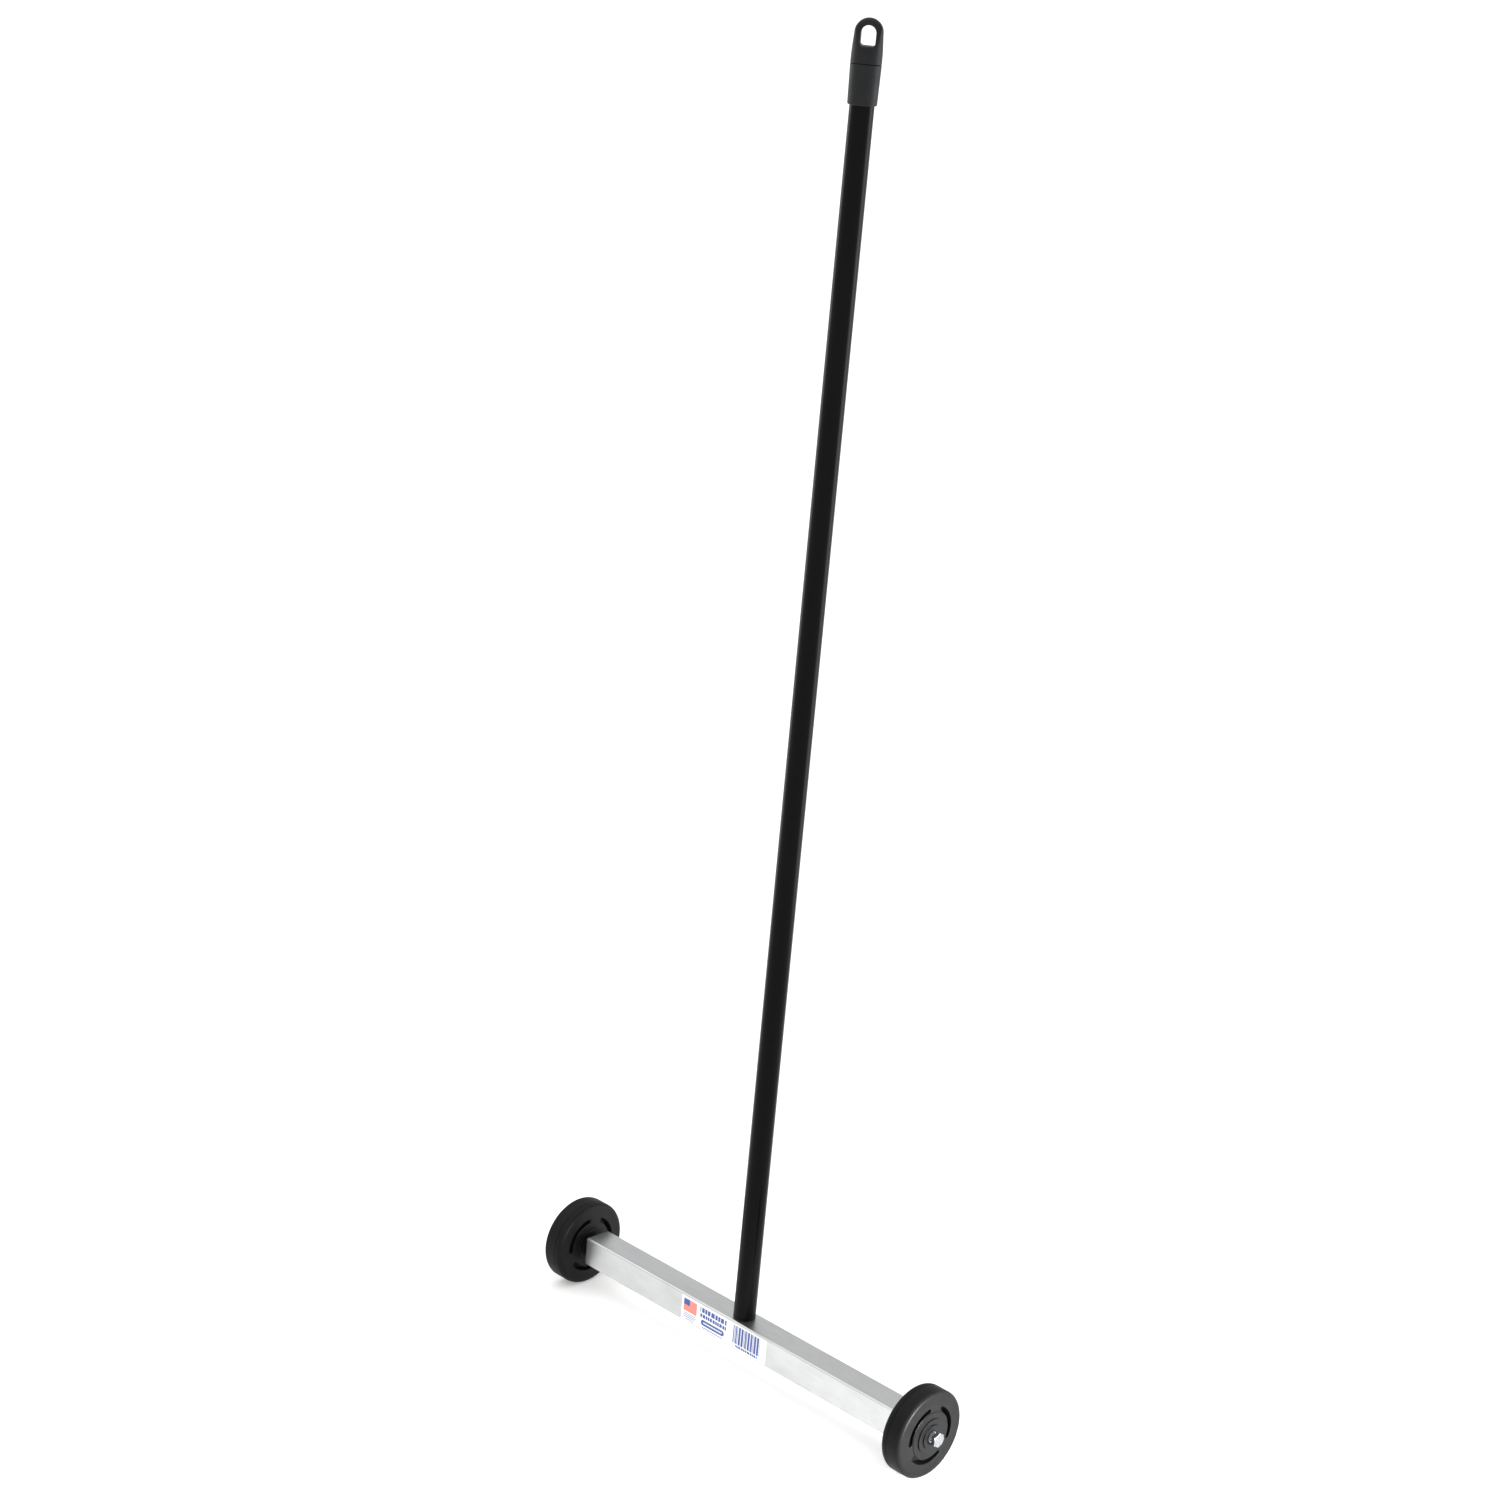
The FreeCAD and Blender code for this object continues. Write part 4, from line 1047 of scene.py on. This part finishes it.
@dataclass
class Wheel:
    """One moulded wheel with its bright steel bush: rounded tread, stepped hub, and three arc slots a face.

    Distances along the axle start at the tread's edge next to the bar and grow away from it, apart from the
    bush's two ends, which are measured from the middle of the bar.
    """

    side: Side
    inner_plane: float = 192.15 * MM
    radius: float = 37.5 * MM
    width: float = 20.0 * MM
    bore: float = 4.755 * MM
    bush: tuple[float, float] = (189.75 * MM, 215.35 * MM)
    bush_bore: float = 3.255 * MM
    inner_round: float = 4.1 * MM
    outer_round: float = 3.3 * MM
    seam: tuple[float, float, float] = (6.0 * MM, 6.6 * MM, 0.4 * MM)
    disc: float = 20.4 * MM
    disc_height: float = 0.6 * MM
    steps: tuple[float, float] = (15.0 * MM, 10.4 * MM)
    outer_step: float = 1.2 * MM
    inner_step: float = 1.1 * MM
    slot: tuple[float, float] = (20.9 * MM, 25.1 * MM)
    slot_depth: float = 8.0 * MM
    slot_angle: float = math.radians(91.0)
    slot_round: float = 1.76 * MM
    heading: float = math.radians(-99.0)
    lip: float = 0.3 * MM
    slot_steps: int = 34
    web_steps: int = 10

    def profile(self) -> tuple[np.ndarray, np.ndarray]:
        """Return the wheel's section as a closed loop, and which way each point sinks into a slot.

        Returns:
            Distance along the axle and radius of each point, shape (n, 2), and the sign of the axle
            direction in which a slot is sunk there: 1 from the inner face, -1 from the outer, 0 elsewhere.
        """
        large, small = self.steps
        low = self.disc_height + self.width
        soft = 0.15 * MM
        inner_hub = rounded_path([
            (low, self.bore, 0.0), (-2 * self.inner_step, self.bore, 0.25 * MM),
            (-2 * self.inner_step, small, soft), (-self.inner_step, small, soft),
            (-self.inner_step, large, soft), (0.0, large, soft), (0.0, self.slot[0] - 2 * self.lip, 0.0)], 4,
            closed=False)[1:]
        tread = rounded_path([
            (0.0, self.slot[1] + 2 * self.lip, 0.0), (0.0, self.radius, self.inner_round),
            (self.seam[0], self.radius, 0.15 * MM), (self.seam[0], self.radius - self.seam[2], 0.1 * MM),
            (self.seam[1], self.radius - self.seam[2], 0.1 * MM), (self.seam[1], self.radius, 0.15 * MM),
            (self.width, self.radius, self.outer_round), (self.width, self.slot[1] + 2 * self.lip, 0.0)], 9,
            closed=False)
        outer_hub = rounded_path([
            (self.width, self.disc + 0.1 * MM, 0.0), (low, self.disc - 0.25 * MM, 0.25 * MM),
            (low, large, soft), (low + self.outer_step, large, soft), (low + self.outer_step, small, soft),
            (low + 2 * self.outer_step, small, soft), (low + 2 * self.outer_step, self.bore, 0.25 * MM),
            (0.0, self.bore, 0.0)], 4, closed=False)[:-1]
        band = self.slot_rows()
        inner_band = np.stack([np.zeros_like(band), band], -1)
        outer_band = np.stack([np.full_like(band, self.width), band[::-1]], -1)
        outer_band = outer_band[outer_band[:, 1] > self.disc + 0.15 * MM]
        loop = [inner_hub, inner_band, tread, outer_band, outer_hub]
        sink = [0, 1, 0, -1, 0]
        return np.vstack(loop), np.concatenate([np.full(len(piece), s) for piece, s in zip(loop, sink)])

    def slot_rows(self) -> np.ndarray:
        """Place the rows through the ring of slots, close together at its two walls.

        Returns:
            The radius of each row.
        """
        low, high = self.slot
        hair = 0.06 * MM
        return np.array([low - self.lip, low, low + hair, low + 2 * hair, low + 1.0 * MM, (low + high) / 2,
                         high - 1.0 * MM, high - 2 * hair, high - hair, high, high + self.lip])

    def columns(self) -> tuple[np.ndarray, np.ndarray]:
        """Lay out the columns of one slot and the web after it, and repeat them three times round the axle.

        Returns:
            Each column's angle, and how deep in a slot it is: 0 outside, 1 inside, and shares at a lip.
        """
        half, middle_radius = self.slot_angle / 2, sum(self.slot) / 2
        hair, lip = 0.06 * MM / middle_radius, self.lip / middle_radius
        inside = np.linspace(-half + 2 * hair, half - 2 * hair, self.slot_steps)
        web = np.linspace(half + lip, 2 * np.pi / 3 - half - lip, self.web_steps)
        angle = np.concatenate([[-half, -half + hair], inside, [half - hair, half], web])
        state = np.concatenate([[0.5, 1.0], np.ones_like(inside), [1.0, 0.5], np.zeros_like(web)])
        turns = np.arange(3)[:, None] * 2 * np.pi / 3
        return (angle + turns + self.heading).ravel(), np.tile(state, 3)

    def end_shift(self, radius: np.ndarray) -> np.ndarray:
        """Draw in a slot's ends so that their corners are round, by the height of an arc over each radius.

        Args:
            radius: Distances from the axle.

        Returns:
            How far the end is drawn in at each, as an angle.
        """
        middle, half = sum(self.slot) / 2, (self.slot[1] - self.slot[0]) / 2
        past = np.clip(np.abs(radius - middle) - (half - self.slot_round), 0.0, self.slot_round)
        return (self.slot_round - np.sqrt(self.slot_round ** 2 - past ** 2)) / middle

    def build_wheel(self) -> bpy.types.Object:
        """Carry the section round the axle, and press the slots into both faces.

        A point in the ring of slots sinks by the slots' depth where its column is inside a slot, and columns
        near a slot's end bend towards its middle by the end's rounding, less and less over 14 degrees.

        Returns:
            The wheel, without its bush.
        """
        section, sink = self.profile()
        angle, state = self.columns()
        radius = section[:, 1][:, None]
        step = 2 * np.pi / 3
        from_middle = (angle - self.heading + step / 2) % step - step / 2
        from_end = np.abs(np.abs(from_middle) - self.slot_angle / 2)
        pull = np.clip(1.0 - from_end / math.radians(14.0), 0.0, 1.0) * -np.sign(from_middle)
        turn = angle[None, :] + self.end_shift(radius) * pull[None, :]
        low, high = self.slot
        hair = 0.05 * MM
        row_in = ((section[:, 1] > low + hair) & (section[:, 1] < high - hair)).astype(float)
        row_lip = ((section[:, 1] > low - hair) & (section[:, 1] < high + hair)).astype(float)
        full = (row_in * (sink != 0))[:, None] * (state >= 1.0)[None, :]
        lipped = (row_lip * (sink != 0))[:, None] * (state > 0.0)[None, :] * (1.0 - full)
        depth = full * self.slot_depth + lipped * self.lip * 0.6
        along = self.inner_plane + section[:, 0][:, None] + depth * sink[:, None]
        grid = np.stack([along * self.side.value, radius * np.cos(turn),
                         radius * np.sin(turn) + AXLE_HEIGHT], -1)
        return shell(f"wheel_moulded_{self.side.label}", grid, sharp=38.0)

    def build_bush(self) -> bpy.types.Object:
        """Turn the bush that lines the wheel's bore and stands a hair out of both ends.

        Returns:
            The bush.
        """
        low, high = self.bush
        profile = rounded_path([(low, self.bush_bore, 0.2 * MM), (low, self.bore, 0.25 * MM),
                                (high, self.bore, 0.25 * MM), (high, self.bush_bore, 0.2 * MM)], 4)
        return turned(f"wheel_bush_turned_{self.side.label}", profile, 64, "X", (0.0, 0.0, AXLE_HEIGHT),
                      self.side.value)

    def build(self, plastic: bpy.types.Material, bright: bpy.types.Material) -> None:
        """Make the wheel and its bush.

        Args:
            plastic: The wheel's moulded plastic.
            bright: The bush's bright steel.
        """
        body = f"{self.side.label}_wheel"
        wheel, bush = self.build_wheel(), self.build_bush()
        dress(wheel, plastic)
        dress(bush, bright)
        settle(wheel, body, "wheel_plastic", f"wheel_{self.side.label}")
        settle(bush, body, "bush_steel", f"wheel_bushing_{self.side.label}")


@dataclass
class Axle:
    """One wheel's quarter-inch bolt, its jam nut and its thrust washer."""

    side: Side
    shank: float = 3.175 * MM
    flats: float = 11.11 * MM
    tip: float = 167.15 * MM
    head: tuple[float, float] = (217.95 * MM, 221.95 * MM)
    nut: tuple[float, float] = (184.15 * MM, 188.15 * MM)
    washer: tuple[float, float] = (188.15 * MM, 189.35 * MM)
    washer_radius: float = 7.9 * MM

    def hexagon(self, angle: np.ndarray, cone: np.ndarray) -> np.ndarray:
        """Return the radius of a hexagon cut back by a cone.

        The hexagon's radius is half its width across flats over the cosine of the angle from the middle of
        the nearest flat, and the cone's radius is the most that it may be at each height.

        Args:
            angle: Directions round the axle, shape (columns,).
            cone: The cone's radius at each row, shape (rows,).

        Returns:
            The radius at each row and column.
        """
        from_flat = (angle + np.pi / 6) % (np.pi / 3) - np.pi / 6
        sides = self.flats / 2 / np.cos(from_flat)
        return np.minimum(sides[None, :], cone[:, None])

    def on_axle(self, name: str, along: np.ndarray, radius: np.ndarray, angle: np.ndarray,
                closed: bool) -> bpy.types.Object:
        """Lay rows of radii on the axle, each at its own distance along it.

        Args:
            name: The piece's name.
            along: Each row's distance from the middle of the bar.
            radius: Radius at each row and column.
            angle: Each column's direction round the axle.
            closed: Whether the last row joins the first, as round a bore.

        Returns:
            The piece.
        """
        grid = np.stack([np.broadcast_to(along[:, None] * self.side.value, radius.shape),
                         radius * np.cos(angle), radius * np.sin(angle) + AXLE_HEIGHT], -1)
        return shell(name, grid, wrap_rows=closed, sharp=28.0)

    def build_bolt(self) -> bpy.types.Object:
        """Make the bolt: a chamfered shank, a washer face, and a hexagon head whose outer corners are cut.

        Returns:
            The bolt.
        """
        angle = np.linspace(0.0, 2 * np.pi, 120, endpoint=False)
        low, high = self.head
        chamfer, face_radius, face_top = 0.6 * MM, 5.2 * MM, low + 0.3 * MM
        shank = np.array([(self.tip, 0.0), (self.tip, self.shank - chamfer), (self.tip + chamfer, self.shank),
                          (low, self.shank), (low, face_radius), (face_top, face_radius)])
        corner = self.flats / 2 / math.cos(np.pi / 6)
        rise = np.linspace(0.0, 1.0, 7)
        top_cone = corner + 0.2 * MM - rise * (corner - 5.1 * MM)
        sides = self.hexagon(angle, np.concatenate([[5.35 * MM, corner + 1 * MM, corner + 1 * MM], top_cone]))
        crown = high - 0.7 * MM
        along = np.concatenate([[face_top, low + 0.42 * MM, crown], crown + 0.7 * MM * rise])
        rows = np.repeat(shank[:, 1:], len(angle), 1)
        end = np.stack([np.full(len(angle), 4.6 * MM), np.zeros(len(angle))])
        radius = np.vstack([rows, sides, end])
        distance = np.concatenate([shank[:, 0], along, [high, high]])
        return self.on_axle(f"axle_bolt_turned_{self.side.label}", distance, radius, angle, False)

    def build_nut(self) -> bpy.types.Object:
        """Make the jam nut: a hexagon with both faces' corners cut by cones, and a plain bore.

        Returns:
            The nut.
        """
        angle = np.linspace(0.0, 2 * np.pi, 120, endpoint=False)
        low, high = self.nut
        corner = self.flats / 2 / math.cos(np.pi / 6)
        rise = np.linspace(0.0, 1.0, 5)
        cone = corner + 0.2 * MM - rise * (corner - 5.1 * MM)
        along = np.concatenate([low + 0.6 * MM * rise, high - 0.6 * MM * (1 - rise)])
        sides = self.hexagon(angle, np.concatenate([cone[::-1], cone]))
        thread, mouth = self.shank + 0.02 * MM, self.shank + 0.5 * MM
        bore = np.repeat(np.array([[mouth], [thread], [thread], [mouth]]), len(angle), 1)
        radius = np.vstack([sides, bore])
        distance = np.concatenate([along, [high, high - 0.4 * MM, low + 0.4 * MM, low]])
        return self.on_axle(f"jam_nut_turned_{self.side.label}", distance, radius, angle, True)

    def build_washer(self) -> bpy.types.Object:
        """Turn the thrust washer, its stamped edges rounded.

        Returns:
            The washer.
        """
        low, high = self.washer
        bore, edge = self.shank + 0.3 * MM, 0.3 * MM
        profile = rounded_path([(low, bore, 0.15 * MM), (low, self.washer_radius, edge),
                                (high, self.washer_radius, edge), (high, bore, 0.15 * MM)], 4)
        return turned(f"thrust_washer_stamped_{self.side.label}", profile, 72, "X", (0.0, 0.0, AXLE_HEIGHT),
                      self.side.value)

    def build(self, steel: bpy.types.Material) -> None:
        """Make the bolt, nut and washer in zinc-plated steel.

        Args:
            steel: The zinc-plated steel.
        """
        made = ((self.build_bolt(), f"axle_bolt_{self.side.label}"),
                (self.build_nut(), f"axle_jam_nut_{self.side.label}"),
                (self.build_washer(), f"thrust_washer_{self.side.label}"))
        for piece, node in made:
            dress(piece, steel)
            settle(piece, "frame", "zinc_steel", node)


# ---------------------------------------------------------------- floor, light and camera


@dataclass(frozen=True)
class SoftBox:
    """One rectangular lamp with a grid that narrows its beam.

    Attributes:
        name: The lamp's name.
        place: Where its middle hangs.
        target: The point that it faces.
        width: Its width in metres.
        height: Its height in metres.
        power: Its power in watts.
        spread: The full angle of its beam in degrees.
    """

    name: str
    place: tuple[float, float, float]
    target: tuple[float, float, float]
    width: float
    height: float
    power: float
    spread: float

    def build(self) -> None:
        """Hang the lamp, facing its target and unseen by the camera."""
        data = bpy.data.lights.new(self.name, "AREA")
        data.shape, data.size, data.size_y, data.energy = "RECTANGLE", self.width, self.height, self.power
        data.spread = math.radians(self.spread)
        lamp = bpy.data.objects.new(self.name, data)
        lamp.location = self.place
        lamp.visible_camera = False
        facing = Vector(self.target) - Vector(self.place)
        lamp.rotation_euler = facing.to_track_quat("-Z", "Y").to_euler()
        bpy.context.scene.collection.objects.link(lamp)


@dataclass
class Studio:
    """A plain pale floor, a white room, a few soft lights, and the camera."""

    floor_reach: float = 30.0
    eye: tuple[float, float, float] = (1.5354, -1.6746, 1.2522)
    heading: float = math.radians(43.5)
    pitch: float = math.radians(17.226)
    roll: float = math.radians(5.253)
    lens: float = 72.0
    room: float = 0.76
    sky: float = 1.3
    sky_angle: float = math.radians(75.0)
    lights: list[SoftBox] = field(
        default_factory=lambda: [
            SoftBox("wheel_box", (0.62, 0.04, 0.08), (0.21, 0.0, 0.045), 0.12, 0.08, 0.33, 24.0),
            SoftBox("back_strip", (0.55, 0.66, 0.66), (0.0, 0.0, 0.66), 0.5, 1.1, 1.2, 70.0),
            SoftBox("left_strip", (-0.9, -0.2, 0.66), (0.0, 0.0, 0.66), 0.12, 1.1, 0.3, 70.0)])

    def build_floor(self) -> None:
        """Lay the floor as a large flat sheet."""
        reach = self.floor_reach
        mesh = bpy.data.meshes.new("floor")
        corners = [(-reach, -reach, 0.0), (reach, -reach, 0.0), (reach, reach, 0.0), (-reach, reach, 0.0)]
        mesh.from_pydata(corners, [], [(0, 1, 2, 3)])
        floor = bpy.data.objects.new("floor", mesh)
        bpy.context.scene.collection.objects.link(floor)
        dress(floor, PaleFloor().build())

    def build_room(self) -> None:
        """Make the world white where it is seen directly, and dimmer as a source of light."""
        world = bpy.data.worlds.new("white_room")
        world.use_nodes = True
        tree = world.node_tree
        tree.nodes.clear()
        seen = add(tree, "LightPath", {})
        strength = add(tree, "MapRange", {0: seen, 3: self.room, 4: 1.0})
        glow = add(tree, "Background", {"Color": (1.0, 1.0, 1.0, 1.0), "Strength": strength})
        add(tree, "OutputWorld", {"Surface": glow})
        bpy.context.scene.world = world

    def build_lights(self) -> None:
        """Hang every soft box, and light the whole floor evenly with a very wide soft sun."""
        for box in self.lights:
            box.build()
        data = bpy.data.lights.new("soft_sky", "SUN")
        data.energy, data.angle = self.sky, self.sky_angle
        lamp = bpy.data.objects.new("soft_sky", data)
        lamp.rotation_euler = (math.radians(12.0), math.radians(-14.0), 0.0)
        bpy.context.scene.collection.objects.link(lamp)

    def build_camera(self) -> None:
        """Place the camera by its heading, pitch and roll."""
        data = bpy.data.cameras.new("camera")
        data.lens, data.sensor_width, data.clip_end = self.lens, 36.0, 200.0
        camera = bpy.data.objects.new("camera", data)
        turn = (Matrix.Rotation(self.heading, 4, "Z") @ Matrix.Rotation(math.pi / 2 - self.pitch, 4, "X")
                @ Matrix.Rotation(self.roll, 4, "Z"))
        camera.matrix_world = Matrix.Translation(self.eye) @ turn
        bpy.context.scene.collection.objects.link(camera)
        bpy.context.scene.camera = camera

    def build(self) -> None:
        """Set up the whole studio, with plain sRGB output so that whites stay white."""
        self.build_floor()
        self.build_room()
        self.build_lights()
        self.build_camera()
        bpy.context.scene.view_settings.view_transform = "Standard"


def main() -> None:
    """Build every sub-assembly in order, then the studio."""
    logging.basicConfig(level=logging.INFO, format="%(name)s: %(message)s")
    steel, bright = PlatedSteel().build(), PlatedSteel("bright_steel_bush", "#D9D8D4", "#C4C2BD", 0.2).build()
    wheel_plastic = MouldedPolyethylene().build()
    MagnetBar().build(steel)
    Pole().build()
    PoleCap().build()
    for side in Side:
        Wheel(side).build(wheel_plastic, bright)
        Axle(side).build(steel)
    Studio().build()


if __name__ == "__main__":
    main()
